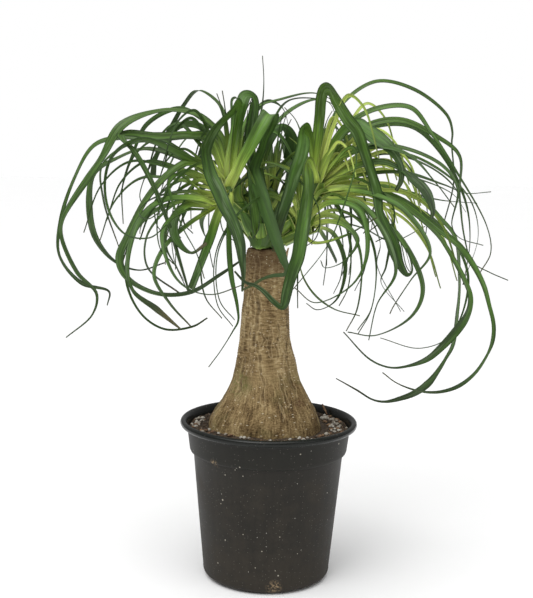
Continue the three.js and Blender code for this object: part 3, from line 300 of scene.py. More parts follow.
    ["right", 4, -1, "", [[68, 448, -10], [130, 450, -50], [185, 438], [228, 435, -118]]],
    ["right", 5, 1, "", [[62, 474, 8], [110, 495, 40], [150, 487], [180, 458, 96], [203, 430, 118]]],
]

# Leaves that fall away behind, set round the heads by the golden angle: the front view hardly shows them
BEHIND = {
    "count": 24, "reach": [95, 190], "rise": [48, 84], "fall": [0, 60], "width": [6, 12], "sweep": 62,
}
# Thin curling leaves that hang close to the heads, all round but for the front
THREADS = {"count": 30, "reach": [48, 112], "rise": [16, 48], "fall": [40, 120], "width": [1.5, 4]}
# Narrow blades that fan out from two heads, each way up from level in degrees. Those on the right have a pale
# end: their lime feet reach further up.
FAN = {
    "count": {"right": 24, "left": 13}, "turns": [-8, 84], "reach": [60, 138], "depth": [-0.60, 0.25],
    "width": [3, 4.6], "tone": [0.85, 1.0], "pale": 0.3, "ends": {"right": "pale", "left": ""},
}
GOLDEN = 2.39996


def lerp(low, high, share):
    return low + (high - low) * share


def clamp(value, low=0.0, high=1.0):
    return max(low, min(high, value))


def smoothstep(value, low, high):
    share = clamp((value - low) / (high - low))
    return share * share * (3 - 2 * share)


def along(table, value):
    """Reads a table of [value, result] rows, straight between its rows."""
    if value <= table[0][0]:
        return table[0][1]
    for (low, first), (high, second) in zip(table, table[1:]):
        if value <= high:
            return lerp(first, second, (value - low) / (high - low))
    return table[-1][1]


class Dice:
    """Repeatable random numbers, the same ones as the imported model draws."""

    def __init__(self, seed):
        self.state = seed

    def roll(self, low=0.0, high=1.0):
        self.state = self.state * 16807 % 2147483647
        return lerp(low, high, self.state / 2147483647)

    def side(self):
        return 1 if self.roll() < 0.5 else -1

    def rolls(self, ranges, *names):
        """One number for each named range."""
        return [self.roll(*ranges[name]) for name in names]


# The bench: choosing, joining and finishing pieces
def deselect():
    bpy.ops.object.select_all(action="DESELECT")


def hold(piece):
    """Makes a piece the only one chosen."""
    deselect()
    piece.select_set(True)
    bpy.context.view_layer.objects.active = piece


def named(piece, name):
    piece.name = name
    piece.data.name = name
    return piece


def added(name):
    """Names the primitive that was just added and puts its place into its mesh."""
    piece = named(bpy.context.object, name)
    bpy.ops.object.transform_apply(location=True, rotation=True, scale=True)
    return piece


def pick_all():
    bpy.ops.mesh.select_all(action="SELECT")


def edit(piece, kind="FACE"):
    """Opens a piece in edit mode."""
    hold(piece)
    bpy.ops.object.mode_set(mode="EDIT")
    bpy.ops.mesh.select_mode(type=kind)


def done():
    bpy.ops.object.mode_set(mode="OBJECT")


def pick(piece, kind, test):
    """In edit mode, selects the faces, edges or vertices that pass a test."""
    bpy.ops.mesh.select_all(action="DESELECT")
    shell = bmesh.from_edit_mesh(piece.data)
    for part in getattr(shell, kind):
        if test(part):
            part.select_set(True)
    shell.select_flush_mode()
    bmesh.update_edit_mesh(piece.data)


def modify(piece, kind, **settings):
    """Adds a modifier with its settings and applies it."""
    hold(piece)
    modifier = piece.modifiers.new(kind.title(), kind)
    for name, value in settings.items():
        setattr(modifier, name, value)
    bpy.ops.object.modifier_apply(modifier=modifier.name)


def face_out(piece):
    edit(piece)
    pick_all()
    bpy.ops.mesh.remove_doubles(threshold=1e-6)
    bpy.ops.mesh.normals_make_consistent(inside=False)
    done()


def smooth(piece, angle=35):
    hold(piece)
    bpy.ops.object.shade_smooth_by_angle(angle=math.radians(angle))


def copy_of(piece, name):
    """A copy of a piece with its own mesh."""
    twin = piece.copy()
    twin.data = piece.data.copy()
    bpy.context.collection.objects.link(twin)
    return named(twin, name)


def discard(*pieces):
    for piece in pieces:
        bpy.data.objects.remove(piece)


def joined(name, parts):
    """Joins parts in one piece."""
    deselect()
    for part in parts:
        part.select_set(True)
    bpy.context.view_layer.objects.active = parts[0]
    bpy.ops.object.join()
    return named(bpy.context.object, name)


def reshape(piece, move):
    """Moves each vertex of a piece to the place that a rule gives for it."""
    for corner in piece.data.vertices:
        corner.co = move(corner.co)
    piece.data.update()


def write_values(piece, name, values, kind="FLOAT"):
    """Stores one value a vertex, for the materials to read."""
    layer = piece.data.attributes.get(name) or piece.data.attributes.new(name, kind, "POINT")
    field = "vector" if kind == "FLOAT_VECTOR" else "value"
    flat = [number for value in values for number in value] if kind == "FLOAT_VECTOR" else values
    layer.data.foreach_set(field, flat)


def turned(name, rings, sides):
    """A round piece: a first ring is drawn up and out through the other rings, in millimetres, and closed."""
    start, *rest = rings
    deselect()
    bpy.ops.mesh.primitive_circle_add(
        vertices=sides, radius=start[0] * MM, fill_type="NGON", location=(0, 0, start[1] * MM))
    piece = added(name)
    edit(piece, "EDGE")
    pick(piece, "edges", lambda edge: True)
    bpy.ops.mesh.delete(type="ONLY_FACE")
    pick(piece, "edges", lambda edge: True)
    radius, height = start
    for next_radius, next_height in rest:
        rise = (next_height - height) * MM
        bpy.ops.mesh.extrude_edges_move(TRANSFORM_OT_translate={"value": (0, 0, rise)})
        grow = next_radius / radius
        bpy.ops.transform.resize(value=(grow, grow, 1), center_override=(0, 0, 0))
        radius, height = next_radius, next_height
    bpy.ops.mesh.edge_face_add()
    pick(piece, "edges", lambda edge: edge.is_boundary)
    bpy.ops.mesh.edge_face_add()
    done()
    face_out(piece)
    return piece


def arc(middle, radius, first, last, steps):
    """Points on a round stretch of a turned outline, as [radius, height]."""
    points = []
    for i in range(steps + 1):
        turn = math.radians(lerp(first, last, i / steps))
        points.append([middle[0] + radius * math.cos(turn), middle[1] + radius * math.sin(turn)])
    return points


# Shader values
class Level:
    """What a node puts out, changing over a surface. Arithmetic on it adds math nodes to the same tree."""

    def __init__(self, tree, socket):
        self.tree = tree
        self.socket = socket

    def also(self, output):
        """Another output of the same node."""
        return Level(self.tree, self.socket.node.outputs[output])

    def __add__(self, other):
        return maths("ADD", self, other)

    def __sub__(self, other):
        return maths("SUBTRACT", self, other)

    def __rsub__(self, other):
        return maths("SUBTRACT", other, self)

    def __mul__(self, other):
        return maths("MULTIPLY", self, other)


def plug(socket, value):
    """Sets a socket to a plain value, or links a level to it."""
    if isinstance(value, Level):
        value.tree.links.new(value.socket, socket)
    else:
        socket.default_value = value


def fed(tree, kind, inputs, output=0, **settings):
    """Adds a node with its settings, fills its inputs and gives one of its outputs."""
    made = tree.nodes.new(kind)
    for name, value in settings.items():
        setattr(made, name, value)
    for socket, value in inputs.items():
        plug(made.inputs[socket], value)
    return Level(tree, made.outputs[output])


def tree_of(values):
    """The node tree that the levels among some values belong to."""
    return next(value.tree for value in values if isinstance(value, Level))


def maths(operation, *values):
    return fed(tree_of(values), "ShaderNodeMath", dict(enumerate(values)), operation=operation)


def combined(*parts):
    """A place from its parts along x, y and z."""
    return fed(tree_of(parts), "ShaderNodeCombineXYZ", dict(enumerate(parts)))


def blended(share, first, second):
    """Mixes two colours: the first where the share is 0, the second where it is 1."""
    return fed(share.tree, "ShaderNodeMix", {"Factor": share, 6: first, 7: second}, 2, data_type="RGBA")


def scaled_colour(colour, tone):
    return fed(tone.tree, "ShaderNodeVectorMath", {0: colour, "Scale": tone}, operation="SCALE")


def spread(value, low, high, to_low=0.0, to_high=1.0):
    """Maps a level between two limits to another range, smoothly."""
    limits = dict(enumerate((value, low, high, to_low, to_high)))
    return fed(value.tree, "ShaderNodeMapRange", limits, interpolation_type="SMOOTHSTEP")


def cloud(place, scale, detail=3.0, rough=0.55, twist=0.0):
    """Soft noise."""
    inputs = {"Vector": place, "Scale": scale, "Detail": detail, "Roughness": rough, "Distortion": twist}
    return fed(place.tree, "ShaderNodeTexNoise", inputs, "Fac")


def cells(place, scale, **settings):
    """The distance from the middles of scattered cells."""
    return fed(place.tree, "ShaderNodeTexVoronoi", {"Vector": place, "Scale": scale}, "Distance", **settings)


def stretched(place, scale):
    return fed(place.tree, "ShaderNodeMapping", {"Vector": place, "Scale": scale})


def colours(value, stops):
    """A colour ramp through (position, colour) stops."""
    made = fed(value.tree, "ShaderNodeValToRGB", {"Fac": value}, "Color")
    ramp = made.socket.node.color_ramp
    while len(ramp.elements) < len(stops):
        ramp.elements.new(0.5)
    for element, (position, colour) in zip(ramp.elements, stops):
        element.position = position
        element.color = (*colour, 1)
    return made


def read_value(tree, name, output="Fac"):
    return fed(tree, "ShaderNodeAttribute", {}, output, attribute_name=name)


def object_place(tree):
    return fed(tree, "ShaderNodeTexCoord", {}, "Object")


def height_of(place):
    return fed(place.tree, "ShaderNodeSeparateXYZ", {0: place}, 2)


def distance_from(place, middle):
    return fed(place.tree, "ShaderNodeVectorMath", {0: place, 1: middle}, "Value", operation="DISTANCE")


def unrolled(place, radius):
    """Places round an upright surface, laid flat: metres round it from the front, and height."""
    across = fed(place.tree, "ShaderNodeSeparateXYZ", {0: place})
    turn = maths("ARCTAN2", across, across.also(1) * -1.0)
    return combined(turn * radius, across.also(2))


def patch_at(place, middle, reach, grain=260.0):
    """A soft ragged patch round one place: 1 in its middle."""
    near = spread(distance_from(place, middle), reach, reach * 0.3)
    return near * spread(cloud(place, grain, 5.0, 0.7), 0.46, 0.58)


def fresh_material(name):
    material = bpy.data.materials.new(name)
    material.use_nodes = True
    tree = material.node_tree
    return material, tree, tree.nodes["Principled BSDF"]


def finish(surface, colour, rough, height, strength, depth):
    """Gives a surface its colour, its roughness and its bumps."""
    plug(surface.inputs["Base Color"], colour)
    plug(surface.inputs["Roughness"], rough)
    bumps = {"Height": height, "Strength": strength, "Distance": depth}
    plug(surface.inputs["Normal"], fed(height.tree, "ShaderNodeBump", bumps))


# Effects that several materials share
def new_effect(name, inputs, *outputs):
    """An empty node group: inputs as {name: starting value}, with None for a place, and outputs by name."""
    group = bpy.data.node_groups.new(name, "ShaderNodeTree")
    for title, start in inputs.items():
        kind = "NodeSocketVector" if start is None else "NodeSocketFloat"
        socket = group.interface.new_socket(title, in_out="INPUT", socket_type=kind)
        if start is not None:
            socket.default_value = start
    for title in outputs:
        group.interface.new_socket(title, in_out="OUTPUT", socket_type="NodeSocketFloat")
    entry = group.nodes.new("NodeGroupInput")
    give = {title: Level(group, entry.outputs[title]) for title in inputs}
    return group, give, group.nodes.new("NodeGroupOutput").inputs


def effect(group, output, **values):
    """Places an effect with its values and gives one of its outputs."""
    return fed(tree_of(values.values()), "ShaderNodeGroup", values, output, node_tree=group)


def speck_effect():
    """Small scattered specks: a mask that is 1 on a speck."""
    starts = {"Place": None, "Scale": 400.0, "Size": 0.2, "Share": 0.2}
    group, give, take = new_effect("specks", starts, "Mask")
    distance = cells(give["Place"], give["Scale"], voronoi_dimensions="2D")
    inside = spread(distance, give["Size"], give["Size"] * 0.7)
    tint = fed(group, "ShaderNodeSeparateColor", {0: distance.also("Color")})
    plug(take["Mask"], inside * maths("LESS_THAN", tint, give["Share"]))
    return group


def mottle_effect():
    """Broad and fine changes of tone, around 1."""
    group, give, take = new_effect("mottle", {"Place": None, "Scale": 20.0, "Depth": 0.3}, "Tone")
    broad = cloud(give["Place"], give["Scale"], 2.0)
    fine = cloud(give["Place"], give["Scale"] * 7.0, 4.0, 0.65)
    plug(take["Tone"], (broad * 1.2 + fine * 0.8 - 1.0) * give["Depth"] + 1.0)
    return group


def vein_effect():
    """The fine parallel veins of a leaf, read across the blade from -1 to 1."""
    group, give, take = new_effect("veins", {"Side": 0.0, "Along": 0.0, "Count": 13.0}, "Vein")
    drift = cloud(combined(give["Side"] * 6.0, give["Along"] * 5.0), 1.6, 3.0)
    wave = give["Side"] * (give["Count"] * math.pi) + drift * 5.0
    plug(take["Vein"], maths("COSINE", wave) * 0.5 + 0.5)
    return group


def streak_effect():
    """Long soft streaks of a blade, its own for each seed: a tone around 1 and a mask for the pale patches,
    partly a waxy coat and partly painted sheen.
    """
    group, give, take = new_effect("streaks", {"Side": 0.0, "Along": 0.0, "Seed": 0.5}, "Tone", "BloomAndSheen")

    def drawn_out(across, lengthwise, apart, detail):
        place = combined(give["Side"] * across, give["Along"] * lengthwise, give["Seed"] * 40.0 + apart)
        return cloud(place, 1.0, detail)

    broad = spread(drawn_out(1.5, 16.0, 0.0, 3.0), 0.32, 0.68, 0.58, 1.42)
    fine = spread(drawn_out(7.0, 9.0, 7.0, 2.0), 0.30, 0.70, 0.76, 1.24)
    plug(take["Tone"], broad * fine)
    plug(take["BloomAndSheen"], spread(drawn_out(2.2, 24.0, 3.0, 3.0), 0.50, 0.68))
    return group


SPECKS = speck_effect()
MOTTLE = mottle_effect()
VEINS = vein_effect()
STREAKS = streak_effect()

# Pale specks on the pot's front as [round the wall from the front, up, size], and their colour
SPECK_SPOTS = [
    [-54, 107, 1.3], [-53, 60, 1.0], [-5, 53, 0.9], [16, 70, 0.8], [16, 24, 1.2], [-29, 150, 1.0],
    [-49, 137, 0.9], [-27, 139, 0.8], [33, 166, 1.0], [80, 112, 0.9], [85, 169, 1.2], [-68, 29, 1.0],
    [-28, 71, 0.8], [-13, 33, 0.8], [-33, 148, 0.8], [-36, 145, 0.7], [12, 30, 0.7], [40, 48, 0.7],
    [-57, 102, 0.8],
]
SPECK_TINT = (0.42, 0.39, 0.32, 1)
# Smears of soil on the pot as [middle, reach], and stains on the bark as [middle, reach, colour], in metres
SMEARS = [[(-0.060, -0.069, 0.147), 0.008], [(0.0093, -0.070, 0.010), 0.011]]
STAINS = [
    [(-0.036, -0.024, 0.228), 0.022, (0.150, 0.160, 0.050, 1)],
    [(0.033, -0.032, 0.2085), 0.010, (0.085, 0.035, 0.020, 1)],
]
# A leaf's green by the share of its length
LEAF_GREENS = [
    (0.02, (0.130, 0.250, 0.034)), (0.25, (0.092, 0.185, 0.026)), (0.50, (0.060, 0.132, 0.019)),
    (0.82, (0.028, 0.062, 0.011)), (0.95, (0.026, 0.038, 0.010)), (1.0, (0.070, 0.055, 0.021)),
]
# The lime of its foot, by the distance from its root in metres over 0.1
LEAF_LIMES = [(0.05, (0.620, 0.720, 0.160)), (0.35, (0.490, 0.630, 0.120)), (0.70, (0.240, 0.390, 0.056))]


# Materials, with heights and reaches in metres
def pot_material():
    """Black moulded plastic, brownish with dust, with pale specks and two smears of soil."""
    material, tree, surface = fresh_material("moulded_plastic")
    place = object_place(tree)
    flat = unrolled(place, 0.085)
    height = height_of(place)
    lip = spread(height, 0.172, 0.178)
    tone = effect(MOTTLE, "Tone", Place=place, Scale=14.0, Depth=0.34)
    streak = spread(cloud(stretched(flat, (1.0, 0.07, 1.0)), 95.0, 3.0), 0.3, 0.7, 0.86, 1.14)
    plastic = scaled_colour((0.0148, 0.0128, 0.0094), tone * streak)
    powder = cloud(place, 38.0, 5.0, 0.7) * spread(height, 0.160, 0.12, 0.05, 1.0)
    dust = spread(powder + spread(height, 0.075, 0.015, 0.0, 0.16), 0.35, 0.75, 0.0, 0.26)
    colour = blended(dust, plastic, (0.070, 0.057, 0.042, 1))
    # Painted shade: from the step up, the band below the lip is made darker
    colour = blended(spread(height, 0.144, 0.149, 0.0, 0.5), colour, (0.0085, 0.0090, 0.0062, 1))
    colour = blended(lip, colour, (0.0060, 0.0072, 0.0055, 1))
    for middle, reach in SMEARS:
        colour = blended(patch_at(place, middle, reach, 430.0), colour, (0.26, 0.185, 0.105, 1))
    for turn, up, size in SPECK_SPOTS:
        away = distance_from(flat, (turn * MM, up * MM, 0))
        colour = blended(spread(away, size * MM, size * MM * 0.4), colour, SPECK_TINT)
    fine = effect(SPECKS, "Mask", Place=flat, Scale=263.0, Size=0.11, Share=0.22)
    large = effect(SPECKS, "Mask", Place=flat, Scale=90.0, Size=0.05, Share=0.05)
    colour = blended(fine * 0.32, colour, (0.30, 0.28, 0.24, 1))
    colour = blended(large * 0.65, colour, (0.55, 0.53, 0.48, 1))
    plug(surface.inputs["Coat Weight"], lip * 0.08)
    surface.inputs["Specular IOR Level"].default_value = 0.24
    rough = dust * 0.5 + 0.52 - lip * 0.28
    finish(surface, colour, rough, cloud(place, 900.0, 2.0) + large * 0.6, 0.25, 0.0004)
    return material


def soil_material():
    """Dark damp potting mix with paler fibres."""
    material, tree, surface = fresh_material("potting_mix")
    place = object_place(tree)
    tone = cloud(place, 320.0, 5.0, 0.7)
    colour = colours(tone, [
        (0.30, (0.011, 0.008, 0.005)), (0.49, (0.046, 0.030, 0.018)), (0.64, (0.115, 0.076, 0.042)),
        (0.82, (0.22, 0.155, 0.09))])
    finish(surface, colour, spread(tone, 0.3, 0.7, 0.85, 1.0), cloud(place, 700.0, 5.0, 0.7), 0.7, 0.001)
    return material


def perlite_material():
    """White expanded mineral grains with pores and a little soil on them."""
    material, tree, surface = fresh_material("white_grains")
    place = object_place(tree)
    tone = cloud(place, 150.0, 4.0, 0.6)
    colour = colours(tone, [
        (0.32, (0.14, 0.11, 0.08)), (0.48, (0.34, 0.31, 0.26)), (0.68, (0.56, 0.54, 0.48))])
    finish(surface, colour, spread(tone, 0.3, 0.7, 0.95, 0.8), cells(place, 1100.0), 0.6, 0.0005)
    return material


def chip_material():
    """Tan wood and bark chips with a fine grain."""
    material, tree, surface = fresh_material("wood_chips")
    tone = cloud(stretched(object_place(tree), (1.0, 1.0, 4.0)), 240.0, 4.0, 0.65)
    colour = colours(tone, [
        (0.32, (0.050, 0.026, 0.014)), (0.50, (0.17, 0.095, 0.050)), (0.72, (0.40, 0.27, 0.15))])
    finish(surface, colour, spread(tone, 0.3, 0.7, 0.75, 0.95), tone, 0.6, 0.0005)
    return material


def bark_material():
    """Tan corky bark: wrinkled on the neck, fibrous on the swollen foot, dark in its furrows.
    The furrows' dark is partly the bark's own colour and partly painted shade.
    """
    material, tree, surface = fresh_material("corky_bark")
    place = read_value(tree, "bark_place", "Vector")
    seam = read_value(tree, "seam")
    spot = object_place(tree)
    height = height_of(spot)
    pores = cloud(place, 560.0, 3.0, 0.7)
    fibre = cloud(stretched(place, (1.0, 1.0, 0.13)), 620.0, 3.0, 0.6) * 0.45 + pores * 0.55
    wrinkle = cloud(stretched(place, (0.16, 0.16, 1.0)), 520.0, 4.0, 0.65) * 0.75 + 0.125
    grain = fibre + (wrinkle - fibre) * spread(height, 0.215, 0.262)
    patch = cloud(stretched(place, (1.0, 1.0, 0.4)), 48.0, 4.0, 0.6, 0.3)
    value = grain * 0.75 + patch * 0.40 - spread(height, 0.245, 0.205, 0.028, 0.050)
    colour = colours(value, [
        (0.39, (0.036, 0.022, 0.009)), (0.48, (0.135, 0.086, 0.036)), (0.58, (0.290, 0.205, 0.094)),
        (0.70, (0.480, 0.385, 0.210))])
    edge = spread(seam, -0.02, -0.16) * spread(seam, -0.42, -0.20)
    colour = blended(edge * 0.40, colour, (0.50, 0.39, 0.22, 1))
    patchy = spread(cloud(place, 110.0, 4.0, 0.65), 0.38, 0.62, 0.22, 0.78)
    # Darker in the furrows by their depth: partly the bark's own colour, partly painted shade in the recesses
    colour = blended(spread(seam, -0.15, -1.5) * patchy, colour, (0.072, 0.045, 0.022, 1))
    colour = blended(spread(height, 0.335, 0.372, 0.0, 0.65), colour, (0.070, 0.038, 0.018, 1))
    mossy = spread(cloud(place, 26.0, 3.0), 0.50, 0.66) * spread(height, 0.260, 0.225)
    colour = blended(mossy * 0.30, colour, (0.150, 0.150, 0.055, 1))
    for middle, reach, tint in STAINS:
        colour = blended(patch_at(spot, middle, reach) * 0.6, colour, tint)
    flat = stretched(unrolled(spot, 0.045), (1.0, 2.2, 1.0))
    flecks = effect(SPECKS, "Mask", Place=flat, Scale=170.0, Size=0.20, Share=0.12)
    colour = blended(flecks * 0.7, colour, (0.62, 0.54, 0.38, 1))
    surface.inputs["Specular IOR Level"].default_value = 0.25
    finish(surface, colour, spread(value, 0.35, 0.75, 0.95, 0.78), grain, 0.6, 0.0009)
    return material


def leaf_material():
    """A leaf's green from its lime root to its dark thread of a tip, streaked along its fine veins."""
    material, tree, surface = fresh_material("palm_leaf")
    side, share, tone, under, root = (
        read_value(tree, f"leaf_{name}") for name in ("side", "along", "tone", "under", "root"))
    place = object_place(tree)
    veins = effect(VEINS, "Vein", Side=side, Along=share, Count=11.0)
    streaks = effect(STREAKS, "Tone", Side=side, Along=root, Seed=tone)
    colour = colours(share + (tone - 0.5) * 0.16, LEAF_GREENS)
    colour = scaled_colour(colour, spread(tone, 0.0, 1.0, 0.70, 1.10))
    colour = scaled_colour(colour, effect(MOTTLE, "Tone", Place=place, Scale=22.0, Depth=0.42))
    colour = blended(spread(root, 0.088, 0.020), colour, colours(root * 10.0, LEAF_LIMES))
    colour = scaled_colour(colour, (streaks - 1.0) * spread(root, 0.0, 0.06, 0.45, 1.0) + 1.0)
    colour = blended(veins * 0.20, colour, (0.025, 0.065, 0.015, 1))
    # Pale patches on the upper faces: partly the leaf's waxy coat, partly painted sheen
    bloom_and_sheen = streaks.also("BloomAndSheen") * (1.0 - under)
    colour = blended(bloom_and_sheen * 0.34, colour, (0.20, 0.29, 0.14, 1))
    edge = maths("ABSOLUTE", side)
    # Painted shade: the blade is made darker towards its edges, where it turns away from the light
    dark = spread(edge, 0.70, 1.0, 0.0, 0.66) * spread(root, 0.02, 0.09)
    colour = blended(dark, colour, (0.010, 0.028, 0.006, 1))
    margin = spread(edge, 0.80, 0.98, 0.0, 0.7) * spread(root, 0.060, 0.008)
    colour = blended(margin, colour, (0.42, 0.42, 0.20, 1))
    shaded = under * spread(root, 0.01, 0.08, 0.04, 0.40)
    colour = blended(shaded, colour, (0.036, 0.080, 0.016, 1))
    surface.inputs["Specular IOR Level"].default_value = 0.26
    rough = under * 0.15 + (cloud(place, 90.0, 3.0) * 0.20 + 0.32)
    finish(surface, colour, rough, veins, 0.22, 0.0003)
    return material


def dry_material():
    """The tan papery base of a dead leaf."""
    material, tree, surface = fresh_material("dry_leaf")
    grain = cloud(stretched(object_place(tree), (1.0, 1.0, 0.2)), 700.0, 4.0, 0.6)
    colour = colours(grain, [
        (0.35, (0.16, 0.09, 0.045)), (0.55, (0.38, 0.26, 0.14)), (0.72, (0.56, 0.43, 0.27))])
    finish(surface, colour, spread(grain, 0.3, 0.7, 0.9, 0.75), grain, 0.4, 0.0004)
    return material


# The pot
def pot_inside(height):
    """The inner wall's radius at a height, shared with the soil that fills the pot."""
    wall = POT["wall"]
    return along([
        [POT["floor"], POT["wall_foot"] - wall - 3.2],
        [POT["foot_height"] + 1, POT["wall_foot"] - wall],
        [POT["step_height"], POT["step"] - wall],
        [POT["band_low"] + 1, POT["band_bottom"] - wall],
        [POT["height"] - POT["bead"] - 5, POT["band_top"] - wall],
    ], height)


def pot_outline():
    half = POT["bead"] / 2
    lip = [POT["rim"] - half, POT["height"] - half]
    neck = POT["height"] - POT["bead"]
    outside = [
        [NOTCH["inner"], 0],
        [POT["contact"], 0],
        *arc([POT["contact"], POT["foot_height"]], POT["foot_height"] - 1.4, -68, -4, 6),
        [POT["wall_foot"], POT["foot_height"] + 1.5],
        [lerp(POT["wall_foot"], POT["step"], 0.35), lerp(POT["foot_height"], POT["step_height"], 0.35)],
        [lerp(POT["wall_foot"], POT["step"], 0.7), lerp(POT["foot_height"], POT["step_height"], 0.7)],
        [POT["step"] - 0.15, POT["step_height"] - 1.2],
        [POT["step"] + 0.35, POT["step_height"] - 0.2],
        [POT["band_bottom"] - 2.2, POT["step_height"] + 0.5],
        [POT["band_bottom"] - 0.8, POT["step_height"] + 1.3],
        [POT["band_bottom"] - 0.1, POT["band_low"] - 1],
        [POT["band_bottom"] + 0.2, POT["band_low"] + 1.5],
        [lerp(POT["band_bottom"], POT["band_top"], 0.7), lerp(POT["band_low"], neck, 0.7)],
        [POT["band_top"], neck - 4],
        [POT["band_top"] + 0.4, neck - 1.2],
        [POT["band_top"] + 1.6, neck],
    ]
    bead = arc(lip, half, -74, 96, 14)
    inside = [
        [POT["rim_inside"], POT["height"] - 1.1],
        [POT["rim_inside"] - 1.6, POT["height"] - 3.4],
        [pot_inside(neck - 5) + 0.4, neck - 2],
        [pot_inside(neck - 5), neck - 5],
        [pot_inside(POT["band_low"] + 1), POT["band_low"] + 1],
        [pot_inside(POT["step_height"]), POT["step_height"]],
        [pot_inside(POT["foot_height"] + 1), POT["foot_height"] + 1],
        [pot_inside(POT["floor"]), POT["floor"]],
        [NOTCH["inner"], POT["floor"]],
    ]
    return [*outside, *bead, *inside]


def notch_cutter(turn):
    """A wedge of a ring that raises the pot's bottom edge between two feet."""
    deselect()
    depth = (NOTCH["height"] + 3) * MM
    bpy.ops.mesh.primitive_cylinder_add(
        vertices=128, radius=POT["step"] * MM, depth=depth, location=(0, 0, NOTCH["height"] * MM - depth / 2))
    cutter = added("notch_cutter")
    edit(cutter)
    half = math.radians(NOTCH["width"] / 2)
    for angle, flip in ((turn + half, 1), (turn - half, -1)):
        pick_all()
        normal = (-math.sin(angle) * flip, math.cos(angle) * flip, 0)
        bpy.ops.mesh.bisect(plane_co=(0, 0, 0), plane_no=normal, use_fill=True, clear_outer=True)
    pick_all()
    inner = NOTCH["inner"] * MM
    middle = (inner * math.cos(turn), inner * math.sin(turn), 0)
    bpy.ops.mesh.bisect(
        plane_co=middle, plane_no=(math.cos(turn), math.sin(turn), 0), use_fill=True, clear_inner=True)
    done()
    face_out(cutter)
    return cutter


def slot_cutter(turn):
    """A round-cornered drain slot through the bottom corner."""
    deselect()
    bpy.ops.mesh.primitive_cube_add(size=1, location=(SLOT["radius"] * MM, 0, 0))
    cutter = bpy.context.object
    cutter.scale = (SLOT["depth"] * MM, SLOT["width"] * MM, SLOT["height"] * MM)
    added("slot_cutter")
    edit(cutter)
    pick_all()
    bpy.ops.mesh.bevel(offset=1.6 * MM, segments=3, affect="EDGES")
    pick_all()
    bpy.ops.transform.rotate(value=-turn, orient_axis="Z", center_override=(0, 0, 0))
    done()
    return cutter


def make_pot():
    pot = turned("pot", pot_outline(), 160)
    for i in range(NOTCH["count"]):
        turn = math.radians(NOTCH["turn"] - 90 + i * 360 / NOTCH["count"])
        spread_out = math.radians(SLOT["spread"])
        cutters = [notch_cutter(turn), slot_cutter(turn - spread_out), slot_cutter(turn + spread_out)]
        for cutter in cutters:
            modify(pot, "BOOLEAN", object=cutter, operation="DIFFERENCE", solver="EXACT")
        discard(*cutters)
    smooth(pot, 40)
    pot.data.materials.append(pot_material())
    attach(pot, "root")
    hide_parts("nursery_pot")


# The soil
def soil_height(x, y):
    """The height of the soil's surface in millimetres, with small rises and dips."""
    waves = math.sin(x / 9 + 1.1) * math.cos(y / 8 - 0.4) + 0.6 * math.sin(x / 5 - y / 6)
    heap = SOIL["heap"] * smoothstep(-y, 20, 60) * smoothstep(math.hypot(x, y), 92, 70)
    return SOIL["height"] + SOIL["relief"] * waves * 0.5 + heap


def soil_place(place):
    """Raises crumbs and hollows on the top of the soil."""
    x, y, z = place / MM
    radius = math.hypot(x, y)
    if z < SOIL["height"] - 1 or radius < SOIL["hole"] + 0.2:
        return place
    crumbs = noise.noise(Vector((x / 2.3, y / 2.3, 4.0))) + 0.6 * noise.noise(Vector((x / 1.1, y / 1.1, 9.0)))
    edge = smoothstep(radius, pot_inside(SOIL["height"]) - 0.8, pot_inside(SOIL["height"]) - 4)
    return Vector((x, y, soil_height(x, y) + 0.9 * crumbs * (0.3 + 0.7 * edge))) * MM


def soil_body():
    clear = SOIL["clear"]
    top = pot_inside(SOIL["height"]) - clear
    wall = [
        [20, POT["floor"] + 0.3],
        [pot_inside(POT["floor"] + 0.3) - clear, POT["floor"] + 0.3],
        [pot_inside(POT["foot_height"] + 1) - clear, POT["foot_height"] + 1],
        [pot_inside(POT["step_height"]) - clear, POT["step_height"]],
        [pot_inside(POT["band_low"] + 1) - clear, POT["band_low"] + 1],
        [top - 0.1, SOIL["height"] - 1.6],
    ]
    surface = [[lerp(top, SOIL["hole"], i / 26), SOIL["height"]] for i in range(27)]
    hole = [[63.2, 150], [48.5, 130], [20, TRUNK["butt"] - 0.3]]
    soil = turned("soil", [*wall, *surface, *hole], 300)
    centre = trunk_middle(TRUNK["foot"]) * MM
    for corner in soil.data.vertices:
        near = smoothstep(math.hypot(corner.co.x, corner.co.y) / MM, 78, SOIL["hole"])
        if corner.co.z > (TRUNK["butt"] - 1) * MM:
            corner.co.x += centre * near
    reshape(soil, soil_place)
    smooth(soil, 180)
    soil.data.materials.append(soil_material())
    return soil


def crumb(name, dice, sharp=0.0):
    """A small irregular lump a millimetre in radius, modelled from a ball pulled about by its corners."""
    deselect()
    bpy.ops.mesh.primitive_ico_sphere_add(subdivisions=2, radius=MM)
    lump = added(name)
    push = [dice.roll(0.72, 1.18) for _ in range(14)]

    def pulled(place):
        chosen = int(abs(noise.noise(place / MM * 1.7)) * 40) % len(push)
        return place * lerp(1, push[chosen], 0.6)

    reshape(lump, pulled)
    edit(lump)
    pick_all()
    flat = (1, dice.roll(0.65, 0.95), dice.roll(0.55 - 0.25 * sharp, 0.85 - 0.3 * sharp))
    bpy.ops.transform.resize(value=flat, center_override=(0, 0, 0))
    done()
    return lump


